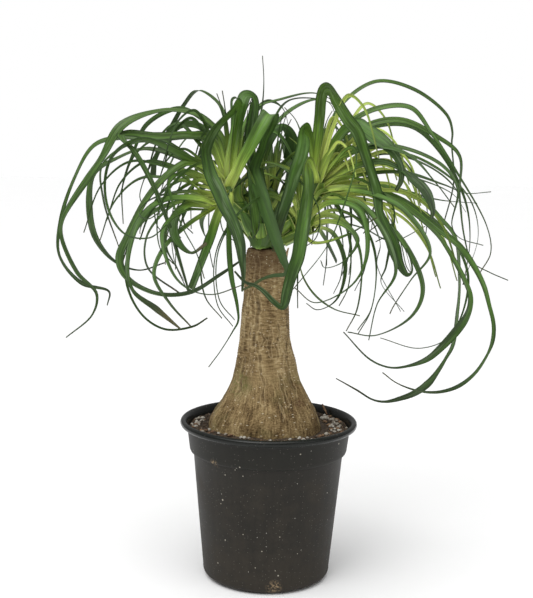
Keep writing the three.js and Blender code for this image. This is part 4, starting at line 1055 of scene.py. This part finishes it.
def scatter(name, models, dice, ring, spots=None):
    """Lays turned copies of small models on the soil, by the golden angle or on named spots."""
    layer = LAYERS[name]
    copies = []
    for i in range(len(spots) if spots else layer["count"]):
        size = dice.roll(*layer["size"])
        if spots:
            x, y = spots[i]
        else:
            turn = i * GOLDEN + dice.roll(0, 0.6)
            radius = lerp(ring[0], ring[1] - size * 0.5, math.sqrt(dice.roll()))
            x, y = radius * math.cos(turn), radius * math.sin(turn)
        twin = copy_of(models[i % len(models)], name)
        tumble = Matrix.Rotation(dice.roll(0, 6.28), 4, "Z") @ Matrix.Rotation(dice.roll(-0.7, 0.7), 4, "X")
        place = Vector((x, y, soil_height(x, y) + size * layer["lift"])) * MM
        twin.data.transform(Matrix.Translation(place) @ tumble @ Matrix.Scale(size, 4))
        copies.append(twin)
    return joined(name, copies)


# What lies on the soil: how many where no spots are named, their sizes and how far each stands out
LAYERS = {
    "soil_crumbs": {"count": 900, "size": [0.7, 2.3], "lift": 0.15},
    "grains_in_front": {"size": [1.9, 2.9], "lift": 0.45},
    "grains_around": {"count": 60, "size": [0.8, 2.2], "lift": 0.35},
    "chips_in_front": {"size": [2.4, 3.8], "lift": 0.35},
    "chips_around": {"count": 46, "size": [1.4, 3.4], "lift": 0.25},
}
# White grains that the front view shows, across and back from the pot's middle
GRAIN_SPOTS = [
    [-85, 24], [-82, 28], [-78, 30], [-83, 9], [-81, 6], [-74, -33], [-67, -22], [-47, -54], [-55, -49],
    [-30, -66], [-26, -68], [-21, -70], [2, -73], [24, -70], [34, -64], [38, -66], [43, -60], [47, -64],
    [65, -38], [66, 48], [70, 51], [67, 56], [73, 34], [76, 23], [74, 11], [72, 5], [76, -5], [79, -2],
    [83, 8], [80, -14], [75, -20], [70, 40], [78, 16], [81, 3], [72, -12], [-79, 18], [-84, 16],
]
# Heaps of grains on the sides, as their number and the stretches of x and y that they lie in
GRAIN_HEAPS = [[14, [62, 82], [-16, 50]], [2, [-86, -66], [-15, 50]]]
CHIP_SPOTS = [
    [70, 8], [60, -47], [-42, -60], [-62, -38], [84, 25], [84, -26], [-71, -28], [66, 27], [80, 35],
    [57, -52],
]
SPLINTER = {"foot": [70, 56, 176], "top": [64, 62, 187], "width": 2.2, "thick": 1.5}


def grain_heaps(dice, ring):
    """Spots for the grains that lie close together, kept between the trunk and the pot."""
    spots = []
    for count, across, back in GRAIN_HEAPS:
        while count:
            x, y = dice.roll(*across), dice.roll(*back)
            if ring[0] + 1 < math.hypot(x, y) < ring[1] - 2:
                spots.append([x, y])
                count -= 1
    return spots


def make_soil():
    dice = Dice(SEEDS["soil"])
    soil = soil_body()
    lumps = [crumb("crumb", dice) for _ in range(6)]
    stones = [crumb("stone", dice) for _ in range(5)]
    chips = [crumb("chip", dice, 1.0) for _ in range(4)]
    ring = [SOIL["hole"] + 2.3, pot_inside(SOIL["height"]) - 0.8]
    crumbs = scatter("soil_crumbs", lumps, dice, ring)
    crumbs.data.materials.append(soil.data.materials[0])
    spots = scatter("grains_in_front", stones, dice, ring, GRAIN_SPOTS + grain_heaps(dice, ring))
    loose = scatter("grains_around", stones, dice, ring)
    perlite = joined("perlite", [spots, loose])
    perlite.data.materials.append(perlite_material())
    front = scatter("chips_in_front", chips, dice, ring, CHIP_SPOTS)
    around = scatter("chips_around", chips, dice, ring)
    bark = joined("bark_chips", [front, around, splinter()])
    bark.data.materials.append(chip_material())
    discard(*lumps, *stones, *chips)
    for piece in (crumbs, perlite, bark):
        smooth(piece, 50)
    for piece in (soil, crumbs, perlite, bark):
        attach(piece, "root")
    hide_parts("potting_soil")


def splinter():
    """The one long splinter of wood that leans on the pot's inner wall."""
    deselect()
    bpy.ops.mesh.primitive_cube_add(size=1)
    piece = bpy.context.object
    foot, top = Vector(SPLINTER["foot"]), Vector(SPLINTER["top"])
    piece.scale = (SPLINTER["width"] * MM, (top - foot).length * MM, SPLINTER["thick"] * MM)
    added("splinter")
    edit(piece)
    pick_all()
    bpy.ops.mesh.subdivide(number_cuts=3)
    pick_all()
    bpy.ops.mesh.bevel(offset=0.2 * MM, segments=1, affect="EDGES")
    done()
    reshape(piece, lambda place: Vector((
        place.x * (1 - 0.5 * abs(place.y) / (9 * MM)) + 0.5 * MM * noise.noise(place * 300),
        place.y, place.z + 0.4 * MM * noise.noise(place * 200))))
    lean = (top - foot).to_track_quat("Y", "Z").to_matrix().to_4x4()
    piece.data.transform(Matrix.Translation((foot + top) * MM / 2) @ lean)
    return piece


# The trunk
def trunk_middle(height):
    return along(TRUNK_MIDDLE, height)


def flute(height, angle):
    """How far a flute stands out or in at a height and an angle round the trunk."""
    start = smoothstep(height, TRUNK["foot"] + 4, TRUNK["foot"] + 24)
    swelling = 1 - 0.62 * smoothstep(height, 215, 300)
    broad = math.cos(5 * angle + 0.9 + height / 130) + 0.7 * math.cos(8 * angle - 1.3 - height / 90)
    fine = 0.5 * math.cos(13 * angle + 2 + height / 60)
    return TRUNK["flutes"] * start * swelling * (broad + fine) * 0.6


def furrow_lines():
    """Each furrow as [width, depth, turns], with turns as [height, angle] from its foot up."""
    lines = []
    for width, depth, points in FURROWS:
        turns = []
        for across, up in reversed(points):
            radius = along(TRUNK_OUTLINE, up)
            turns.append([up, -math.acos(clamp((across - trunk_middle(up)) / radius, -0.98, 0.98))])
        lines.append([width, depth, turns])
    dice = Dice(SEEDS["furrows"])
    for kind in (BACK_FURROWS, SHORT_FURROWS):
        for i in range(kind["count"]):
            angle = lerp(*kind["turns"], (i * 0.618) % 1)
            low = dice.roll(*kind["foot"])
            high = min(376, low + dice.roll(*kind["length"]))
            turns = [[lerp(low, high, step / 4), angle + dice.roll(-0.09, 0.09)] for step in range(5)]
            lines.append([dice.roll(*kind["width"]), dice.roll(*kind["depth"]), turns])
    return lines


def bark_relief(height, angle, radius, lines):
    """The bark's fine shape in millimetres: furrows, wrinkles, fibres and lumps, then its furrows alone."""
    relief = 0
    for number, (width, depth, turns) in enumerate(lines):
        low, high = turns[0][0], turns[-1][0]
        if low < height < high:
            gap = ((angle - along(turns, height) + math.pi) % (2 * math.pi) - math.pi) * radius
            if abs(gap) > 3 * width + 1:
                continue
            gap += 1.2 * noise.noise(Vector((number * 5.1, height / 5, 8)))
            gap += 2.2 * noise.noise(Vector((number * 4.3, height / 16, 3)))
            wide = width * (1 + 0.8 * noise.noise(Vector((number * 2.3, height / 8, 4))))
            deep = clamp(0.9 + 0.9 * noise.noise(Vector((number * 3.7, height / 11, 1.5))), 0.45, 1.3)
            ends = smoothstep(height, low, low + 9) * smoothstep(height, high, high - 9)
            relief -= depth * deep * ends * math.exp(-((gap / wide) ** 2))
    seam = relief
    x, y = math.cos(angle), math.sin(angle)
    neck = smoothstep(height, *WRINKLES["heights"])
    warp = 5 * noise.noise(Vector((x * 2.2, y * 2.2, height / 26)))
    warp += 2 * noise.noise(Vector((x * 5, y * 5, height / 9)))
    ring = math.sin(height * 2 * math.pi / WRINKLES["apart"] + warp)
    broken = smoothstep(noise.noise(Vector((x * 3 + 7, y * 3, height / 12))), -0.25, 0.3)
    relief += WRINKLES["depth"] * neck * ring * broken
    round_place = BARK_RADIUS / 3.1
    fibre = noise.noise(Vector((x * round_place, y * round_place, height / 15)))
    fibre += 0.7 * noise.noise(Vector((x * round_place * 2.3, y * round_place * 2.3, height / 7 + 5)))
    relief += lerp(0.75, 0.28, neck) * fibre
    relief += 0.8 * noise.noise(Vector((x * 2.6, y * 2.6, height / 19 + 3)))
    rise = smoothstep(height, SOIL["height"] - 1, SOIL["height"] + 6)
    return relief * rise, seam * rise


def make_trunk():
    butt = [[6, TRUNK["butt"]], [48, 130], [62.5, 150]]
    crown = [[13, TRUNK["top"] + 1], [2, TRUNK["top"] + 1.5]]
    sides = [[along(TRUNK_OUTLINE, height), height] for height in range(171, 380, 3)]
    trunk = turned("bark_trunk", [*butt, *sides, [20.5, TRUNK["top"]], *crown], 72)
    modify(trunk, "SUBSURF", levels=2, render_levels=2)
    lines = furrow_lines()
    seams, places = [], []
    for corner in trunk.data.vertices:
        x, y, z = corner.co / MM
        radius, angle = math.hypot(x, y), math.atan2(y, x)
        relief, seam = bark_relief(z, angle, radius, lines) if radius > 15 else (0.0, 0.0)
        out = radius + (flute(z, angle) + relief) * min(1, radius / 20)
        corner.co = Vector((out * math.cos(angle) + trunk_middle(z), out * math.sin(angle), z)) * MM
        seams.append(seam)
        flat = [math.cos(angle) * BARK_RADIUS * MM, math.sin(angle) * BARK_RADIUS * MM]
        places.append((*flat, (z - radius * 0.6) * MM))
    write_values(trunk, "seam", seams)
    write_values(trunk, "bark_place", places, "FLOAT_VECTOR")
    smooth(trunk, 180)
    trunk.data.materials.append(bark_material())
    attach(trunk, "root")
    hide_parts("trunk")


# The leaves
def slide(point):
    """A point of the upright plane, slid along the line of sight so that it lies nearer the front."""
    across, up, towards = point
    nearer = (EYE["distance"] - towards) / EYE["distance"]
    return Vector((across * nearer, -towards, EYE["height"] + (up - EYE["height"]) * nearer))


def midrib(points):
    """Gives each midrib point its place towards the front, evenly between the points that name one."""
    filled = [[*point, None][:3] for point in points]
    last = 0
    for i in range(1, len(filled)):
        if filled[i][2] is None:
            continue
        for j in range(last + 1, i):
            filled[j][2] = lerp(filled[last][2], filled[i][2], (j - last) / (i - last))
        last = i
    return [slide(point) for point in filled]


def curve_point(points, share):
    """A point of a centripetal curve through the points."""
    spans = len(points) - 1
    spot = clamp(share) * spans
    i = min(int(spot), spans - 1)
    t = spot - i
    start, end = points[i], points[i + 1]
    before = points[i - 1] if i > 0 else start * 2 - end
    after = points[i + 2] if i + 2 <= spans else end * 2 - start
    gaps = [max(1e-4, (b - a).length ** 0.5) for a, b in ((before, start), (start, end), (end, after))]
    leave = (start - before) / gaps[0] - (end - before) / (gaps[0] + gaps[1]) + (end - start) / gaps[1]
    enter = (end - start) / gaps[1] - (after - start) / (gaps[1] + gaps[2]) + (after - end) / gaps[2]
    leave, enter = leave * gaps[1], enter * gaps[1]
    square = end * 3 - start * 3 - leave * 2 - enter
    cube = start * 2 - end * 2 + leave + enter
    return start + leave * t + square * t * t + cube * t * t * t


def arch(head, turn, reach, stations):
    """A midrib that arches out from a head one way round, through stations as [share of the reach, up]."""
    out = Vector((math.cos(turn), math.sin(turn), 0))
    return [head + out * reach * share + Vector((0, 0, height)) for share, height in stations]


def behind_points(index, dice):
    """The midrib of one leaf that falls away behind, with its width and the face that shows."""
    names = list(HEADS)
    head = slide(HEADS[names[index % len(names)]])
    swing = ((index * 137.5) % 360) / 180 - 1
    turn = math.radians(90 + swing * BEHIND["sweep"])
    reach, rise, fall = dice.rolls(BEHIND, "reach", "rise", "fall")
    stations = [
        [0, 0], [0.1, rise * 0.5], [0.3, rise * 0.95], [0.55, rise], [0.82, rise * 0.55], [1, -fall * 0.3],
        [0.94 + 0.1 * dice.roll(), -fall]]
    return arch(head, turn, reach, stations), dice.roll(*BEHIND["width"]), dice.side()


def thread_points(index, dice):
    """The midrib of one thin leaf that curls over and hangs close to its head, with its seen widths."""
    head = slide(HEADS[("left", "right", "low")[index % 3]])
    turn = math.radians(lerp(-50, 230, (index * 0.618) % 1))
    reach, rise, fall, width = dice.rolls(THREADS, "reach", "rise", "fall", "width")
    stations = [
        [0, 0], [0.15, rise * 0.6], [0.4, rise], [0.75, rise * 0.55], [1, -fall * 0.2], [0.98, -fall * 0.75],
        [0.8, -fall]]
    widths = [width * 1.5, width * 1.5, width, width * 0.5, width * 0.2]
    return arch(head, turn, reach, stations), widths, dice.side()


def fan_points(index, count, name, dice):
    """The midrib of one of the narrow blades that fan out from a head, up and to its own side."""
    head = slide(HEADS[name])
    side = 1 if head.x > 0 else -1
    turn = math.radians(lerp(*FAN["turns"], (index + dice.roll(0, 0.6)) / count))
    reach, depth, width = dice.rolls(FAN, "reach", "depth", "width")
    out = Vector((math.cos(turn) * side, 0, math.sin(turn)))
    back = Vector((0, depth, 0))
    droop = Vector((side * 0.25, 0, -1)) * reach
    stations = [[0.3, 0.0, 0.1], [0.62, 0.02, 0.4], [0.95, 0.12, 0.8], [1.15, 0.42, 1.1], [1.2, 0.85, 1.3]]
    points = [head + out * 2]
    points += [head + out * reach * far + droop * down + back * reach * deep for far, down, deep in stations]
    return points, [width, width, width * 0.9, width * 0.6, width * 0.3], dice.side()


def blade_width(share, spot, seen, end):
    """A blade's whole width at a share of its length, and the part of it that should face the front."""
    clasp = 1.25 - share * 0.5 if end == "wide" else lerp(0.8, 1, clamp(share / 0.15))
    if isinstance(seen, list):
        place = spot * (len(seen) - 1)
        i = min(int(place), len(seen) - 2)
        here = lerp(seen[i], seen[i + 1], place - i)
        full = 1.06 * max(seen) * clasp
        width = max(LEAF["narrowest"], lerp(full, here * 1.04, smoothstep(share, *LEAF["measured_past"])))
        return width, min(0.97, here / width)
    full = 3 + 0.5 * seen
    past = smoothstep(share, *LEAF["taper"])
    taper = 1 - 0.3 * past if end == "cut" else 1 - 0.93 * past
    return max(LEAF["narrowest"], full * clasp * taper), min(0.9, 0.65 * seen / full)


def steered(normal, tangent, shown, pull):
    """Rolls a blade a little round its midrib, towards showing a part of its width to the front."""
    front = Vector((0, -1, 0))
    front -= tangent * front.dot(tangent)
    facing = front.length
    if facing < 0.1:
        return normal
    front /= facing
    beside = tangent.cross(front)
    goal = front * math.copysign(shown, normal.dot(front))
    goal += beside * math.copysign(math.sqrt(1 - shown * shown), normal.dot(beside))
    pull *= facing * facing
    return (normal * (1 - pull) + goal * pull).normalized()


def leaf_frames(path, count, tone):
    """A blade's stations as (point, way across, upper face's normal, share, width, keel), and its length."""
    points, seen, face, end = path
    spots = [curve_point(points, i / count) for i in range(count + 1)]
    sideways = 1 if curve_point(points, 0.4).x < spots[0].x else -1
    runs = [0]
    for before, spot in zip(spots, spots[1:]):
        runs.append(runs[-1] + (spot - before).length)
    length = runs[-1]
    frames = []
    normal = last = None
    keel = LEAF["keel"]
    for i, spot in enumerate(spots):
        step = 1e-4
        tangent = (curve_point(points, i / count + step) - curve_point(points, i / count - step)).normalized()
        share = runs[i] / length
        width, shown = blade_width(share, i / count, seen, end)
        pull = LEAF["roll_measured"]
        if not isinstance(seen, list):
            pull = LEAF["roll"]
            shown = min(0.95, shown * (1 + 0.28 * math.sin(tone * 40 + runs[i] / 45)))
        if normal is None:
            inner = Vector((tangent.z * sideways, 0, -tangent.x * sideways))
            normal = inner * math.sqrt(1 - shown * shown) + Vector((0, -shown * face, 0))
        else:
            bend = -(tangent - last).dot(normal) / (runs[i] - runs[i - 1]) * width
            folded = smoothstep(bend, *LEAF["folds"])
            keel += 0.3 * (lerp(LEAF["keel"], LEAF["fold_keel"], folded) - keel)
        normal = (normal - tangent * normal.dot(tangent)).normalized()
        normal = steered(normal, tangent, shown, pull)
        last = tangent
        frames.append((spot, tangent.cross(normal).normalized(), normal, share, width, keel))
    return frames, length


def leaf_strip(stations):
    """The flat strip that leaves are copied from: lanes across it and stations along it."""
    deselect()
    bpy.ops.mesh.primitive_grid_add(
        x_subdivisions=LEAF["lanes"], y_subdivisions=stations, size=2, location=(0, 0, 0))
    strip = added("leaf_strip")
    edit(strip)
    pick_all()
    bpy.ops.transform.translate(value=(0, 1, 0))
    bpy.ops.transform.resize(value=(1, 0.5, 1), center_override=(0, 0, 0))
    done()
    return strip


def bent_leaf(strip, name, path, tone):
    """A copy of the strip, laid along a leaf's midrib, hollowed along its middle and given its width."""
    leaf = copy_of(strip, name)
    stations = len(leaf.data.vertices) // (LEAF["lanes"] + 1) - 1
    frames, length = leaf_frames(path, stations, tone)
    worn = LEAF["unworn"] if path[3] == "cut" else 1
    if path[3] == "pale":
        tone = lerp(*FAN["tone"], tone)
    sides, shares = [], []
    for corner in leaf.data.vertices:
        side, row = corner.co.x, round(corner.co.y * stations)
        spot, across, normal, share, width, keel = frames[row]
        hollow = width * lerp(LEAF["clasp"], keel, smoothstep(share, 0, 0.14))
        wave = math.sin(share * length / LEAF["ripple_length"] + tone * 40 + side)
        lift = hollow * (abs(side) ** 1.15 - 0.5) + LEAF["ripple"] * width * side * side * wave
        corner.co = (spot + across * (side * width / 2) + normal * lift) * MM
        sides.append(side)
        shares.append(lerp(0.22, 0.7, share) if path[3] == "wide" else share * worn)
    shown_length = {"pale": length * FAN["pale"], "wide": CLASP_LENGTH}.get(path[3], length / worn)
    mark_blade(leaf, sides, shares, tone, shown_length)
    return leaf


def crown_piece(piece, material):
    """Finishes a piece of the crown."""
    smooth(piece, 60)
    piece.data.materials.append(material)
    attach(piece, "root")
    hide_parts("leaf_crown")


def finish_blades(piece, material, thick=LEAF["thick"]):
    """Gives blades their thickness, marks their lower faces and makes them part of the crown."""
    upper = len(piece.data.vertices)
    modify(piece, "SOLIDIFY", thickness=thick * MM, offset=0)
    total = len(piece.data.vertices)
    write_values(piece, "leaf_under", [0.0 if i < upper else 1.0 for i in range(total)])
    crown_piece(piece, material)


def seen_widths(row, path):
    """The widths that a row names for its midrib points, each made smaller the nearer its point lies."""
    _, seen, _, _, points, *given = row
    widths = given[0] if given else [point[3] for point in points if len(point) > 3]
    if not widths:
        return seen
    scaled = [width * (1 + spot.y / EYE["distance"]) for width, spot in zip(widths, path[1:])]
    return [scaled[0], *scaled]


# The bunches of leaves, and how far across a leaf has to reach to be one of the left or the right bunch
BUNCHES = ["leaves_left", "leaves_right", "leaves_middle", "leaves_behind", "leaf_threads"]
BUNCH_LIMITS = {"left": -76, "right": 120}


def bunch_of(path):
    reach = max(path, key=lambda point: abs(point.x)).x
    if reach < BUNCH_LIMITS["left"]:
        return "leaves_left"
    return "leaves_right" if reach > BUNCH_LIMITS["right"] else "leaves_middle"


def crown_bunches():
    """The midribs of every leaf, sorted in the bunches that are joined as one piece each."""
    bunches = {name: [] for name in BUNCHES}
    for row in LEAVES:
        head, _, face, end, points = row[:5]
        path = midrib([HEADS[head], *points])
        bunches[bunch_of(path)].append((path, seen_widths(row, path), face, end))
    dice = Dice(SEEDS["behind"])
    for i in range(BEHIND["count"]):
        bunches["leaves_behind"].append((*behind_points(i, dice), ""))
    dice = Dice(SEEDS["threads"])
    for i in range(THREADS["count"]):
        bunches["leaf_threads"].append((*thread_points(i, dice), ""))
    for name, count in FAN["count"].items():
        for i in range(count):
            bunches["leaf_threads"].append((*fan_points(i, count, name, dice), FAN["ends"][name]))
    return bunches


def mark_blade(piece, sides, shares, tone, length):
    """Stores what the leaf material reads: place across and along, tone and metres from the root."""
    write_values(piece, "leaf_side", sides)
    write_values(piece, "leaf_along", shares)
    write_values(piece, "leaf_tone", [tone] * len(sides))
    write_values(piece, "leaf_root", [share * length * MM for share in shares])


def clasping_base(strip, name, spine, angle, size, tone, age):
    """A broad leaf base that wraps a head: rounded below, leaning out and narrowing above."""
    low, high, near, away, wrap, lean, rounded = size
    base = copy_of(strip, name)
    sides, shares = [], []
    for corner in base.data.vertices:
        side, share = corner.co.x, corner.co.y
        height = lerp(low, high, share)
        rounding = math.sqrt(clamp(1 - (1 - min(1, share / rounded)) ** 2, 0.02))
        half = wrap * rounding * (1 - 0.72 * share ** 1.3)
        radius = lerp(near, away, share) + lean * share ** 2.2
        turn = angle + side * half * near / radius
        place = spine(height) + Vector((math.cos(turn), math.sin(turn), 0)) * radius
        corner.co = (place + Vector((0, 0, height))) * MM
        sides.append(side)
        rim = max(smoothstep(abs(side), 0.86, 1), smoothstep(share, 0.05, 0))
        shares.append((share * 0.12 + 0.32 * age) * (1 - lerp(0.9, 0.45, age) * rim))
    mark_blade(base, sides, shares, tone, CLASP_LENGTH)
    return base


def head_spine(name):
    """The middle line of a head's short stem, as a sideways place for each height."""
    seat = Vector((trunk_middle(TRUNK["top"]), 0, TRUNK["top"] - 2))
    head = slide(HEADS[name])

    def spine(height):
        rise = clamp((height - seat.z) / (head.z - seat.z))
        return Vector((lerp(seat.x, head.x, rise), lerp(seat.y, head.y, rise), 0))

    return spine


def head_stem(name):
    """The short stem and bud of one growing head, ringed with the scars of old leaves."""
    spine = head_spine(name)
    foot = TRUNK["top"] - 2
    head = HEADS[name][1]
    bud = BUDS[name]
    rings = [[3, foot], [10.5, foot + 0.1]]
    steps = max(4, round((head - foot) / 2))
    for i in range(1, steps):
        share = i / steps
        rings.append([lerp(11, bud * 0.85, share) + 0.55 * (i % 2), lerp(foot, head, share)])
    for turn in (0, 0.4, 0.8, 1.15, 1.45):
        rings.append([bud * 0.85 * math.cos(turn), head + bud * 1.9 * math.sin(turn)])
    stem = turned("head_stem", rings, 28)
    reshape(stem, lambda place: place + spine(place.z / MM) * MM)
    rises = [clamp((corner.co.z / MM - foot) / (head - foot)) for corner in stem.data.vertices]
    shares = [lerp(0.5, 0.3, rise) for rise in rises]
    mark_blade(stem, [0.0] * len(shares), shares, 0.0, CLASP_LENGTH)
    return stem


def young_leaf(strip, name, dice, index):
    """A short upright leaf from the middle of a head."""
    head = slide(HEADS[name])
    turn = index * GOLDEN + dice.roll(0, 0.8)
    rise, reach = dice.rolls(YOUNG, "rise", "reach")
    stations = [[3, 8], [3 + reach * 0.2, rise * 0.45], [3 + reach * 0.55, rise * 0.85], [reach, rise]]
    points = arch(head, turn, 1, stations)
    return bent_leaf(strip, "young_leaf", (points, dice.roll(*YOUNG["width"]), 1, ""), dice.roll(0.5, 1))


def trunk_spine(height):
    return Vector((trunk_middle(height), 0, 0))


def single_clasp(strip, clasp, tone, age):
    """A clasping base that stands on the trunk itself."""
    near = clasp["radius"]
    size = [clasp["low"], clasp["high"], near, near + 1, clasp["wrap"], clasp["lean"], clasp["rounded"]]
    turn = math.radians(clasp["turn"])
    return clasping_base(strip, "single_clasp", trunk_spine, turn, size, tone, age)


def make_heads(material):
    """The growing heads: ringed stems, clasping leaf bases round them and young leaves in their middles."""
    strip = leaf_strip(20)
    dice = Dice(SEEDS["heads"])
    bases, young = [], []
    for name, (count, over, oldest) in CLASPS.items():
        spine = head_spine(name)
        head, bud = HEADS[name][1], BUDS[name]
        for i in range(count):
            share = i / count
            low = lerp(TRUNK["top"] + 3, head - 4, share)
            high = low + lerp(30, over + 6, share)
            near = lerp(13, bud * 0.66, share)
            size = [low, high, near, near + 1.5, lerp(1.25, 1.0, share), lerp(9, 3, share), 0.22]
            age = lerp(oldest, 0.3, share)
            bases.append(clasping_base(strip, "clasp", spine, i * GOLDEN, size, dice.roll(0.2, 0.9), age))
        if name in YOUNG["heads"]:
            young += [young_leaf(strip, name, dice, i) for i in range(YOUNG["count"])]
    for i in range(COLLAR["count"]):
        high, lean = dice.rolls(COLLAR, "high", "lean")
        clasp = {**COLLAR, "turn": i * 360 / COLLAR["count"] + 20, "high": high, "lean": lean}
        bases.append(single_clasp(strip, clasp, dice.roll(0, 0.5), 1.1))
    bases.append(single_clasp(strip, FRONT_CLASP, 0.0, 1.1))
    finish_blades(joined("clasping_bases", bases), material, LEAF["base_thick"])
    dry = named(single_clasp(strip, DRY_CLASP, 0.6, 0.0), "dry_clasp")
    modify(dry, "SOLIDIFY", thickness=DRY_THICK * MM, offset=0)
    crown_piece(dry, dry_material())
    finish_blades(joined("young_leaves", young), material)
    stems = joined("head_stems", [head_stem(name) for name in HEADS])
    write_values(stems, "leaf_under", [0.0] * len(stems.data.vertices))
    crown_piece(stems, material)
    discard(strip)


def make_leaves():
    strip, thin_strip = leaf_strip(LEAF["stations"]), leaf_strip(LEAF["thin_stations"])
    material = leaf_material()
    dice = Dice(SEEDS["tones"])
    for name, paths in crown_bunches().items():
        source = thin_strip if name == "leaf_threads" else strip
        leaves = [bent_leaf(source, name, path, dice.roll()) for path in paths]
        finish_blades(joined(name, leaves), material)
    discard(strip, thin_strip)
    make_heads(material)


# Room, lights and camera
FLOOR = {"size": 30, "tint": (0.985, 0.985, 0.985), "rough": 0.9}
# The room's light by its direction: how much more it gives from above than from the side, and its least
SKY = {"side": 0.22, "above": 0.42, "least": 0.10}


def make_room():
    deselect()
    bpy.ops.mesh.primitive_plane_add(size=FLOOR["size"], location=(0, 0, 0))
    floor = added("floor")
    material, tree, surface = fresh_material("pale_floor")
    tone = effect(MOTTLE, "Tone", Place=object_place(tree), Scale=2.0, Depth=0.012)
    plug(surface.inputs["Base Color"], scaled_colour(FLOOR["tint"], tone))
    surface.inputs["Roughness"].default_value = FLOOR["rough"]
    floor.data.materials.append(material)
    bpy.context.scene.world = studio_world()
    bpy.context.scene.view_settings.view_transform = "Standard"


def studio_world():
    """A white room that lights the plant more softly than it shows, and most from above."""
    world = bpy.data.worlds.new("studio")
    world.use_nodes = True
    tree = world.node_tree
    shade = tree.nodes["Background"]
    shade.inputs["Color"].default_value = (1, 1, 1, 1)
    seen = fed(tree, "ShaderNodeLightPath", {}, "Is Camera Ray")
    upward = height_of(fed(tree, "ShaderNodeTexCoord", {}, "Generated"))
    light = maths("MAXIMUM", upward * SKY["above"] + SKY["side"], SKY["least"])
    plug(shade.inputs["Strength"], seen * (1.0 - light) + light)
    return world


# Soft lights that point at the plant's middle: places and sizes in metres, strengths in watts
LIT = (0, 0, 0.35)
LAMPS = {
    "key": {"place": (-0.7, -1.3, 1.9), "size": (1.0, 0.7), "watts": 9},
    "fill": {"place": (1.5, -1.1, 1.1), "size": (1.2, 1.2), "watts": 3},
}
WINDOW = {"strength": 1.9, "angle": 75, "towards": (0.20, 0.42, -1)}


def hang(name, lamp, towards, place=(0, 0, 0)):
    """Puts a lamp in the room, pointed one way."""
    light = bpy.data.objects.new(name, lamp)
    light.location = place
    light.rotation_euler = Vector(towards).to_track_quat("-Z", "Y").to_euler()
    bpy.context.collection.objects.link(light)


def make_lights():
    sun = bpy.data.lights.new("window", "SUN")
    sun.energy = WINDOW["strength"]
    sun.angle = math.radians(WINDOW["angle"])
    hang("window", sun, WINDOW["towards"])
    for name, made in LAMPS.items():
        lamp = bpy.data.lights.new(name, "AREA")
        lamp.shape = "RECTANGLE"
        lamp.size, lamp.size_y = made["size"]
        lamp.energy = made["watts"]
        hang(name, lamp, Vector(LIT) - Vector(made["place"]), made["place"])


def make_camera():
    lens = bpy.data.cameras.new("camera")
    lens.lens = CAMERA["lens"]
    lens.sensor_width = CAMERA["sensor"]
    camera = bpy.data.objects.new("camera", lens)
    camera.matrix_world = (
        Matrix.Translation(Vector((0, -EYE["distance"], EYE["height"])) * MM)
        @ Matrix.Rotation(CAMERA["aside"], 4, "Z")
        @ Matrix.Rotation(math.pi / 2 - CAMERA["down"], 4, "X")
        @ Matrix.Rotation(CAMERA["tilt"], 4, "Z"))
    bpy.context.collection.objects.link(camera)
    bpy.context.scene.camera = camera


make_room()
make_lights()
make_camera()
make_pot()
make_soil()
make_trunk()
make_leaves()
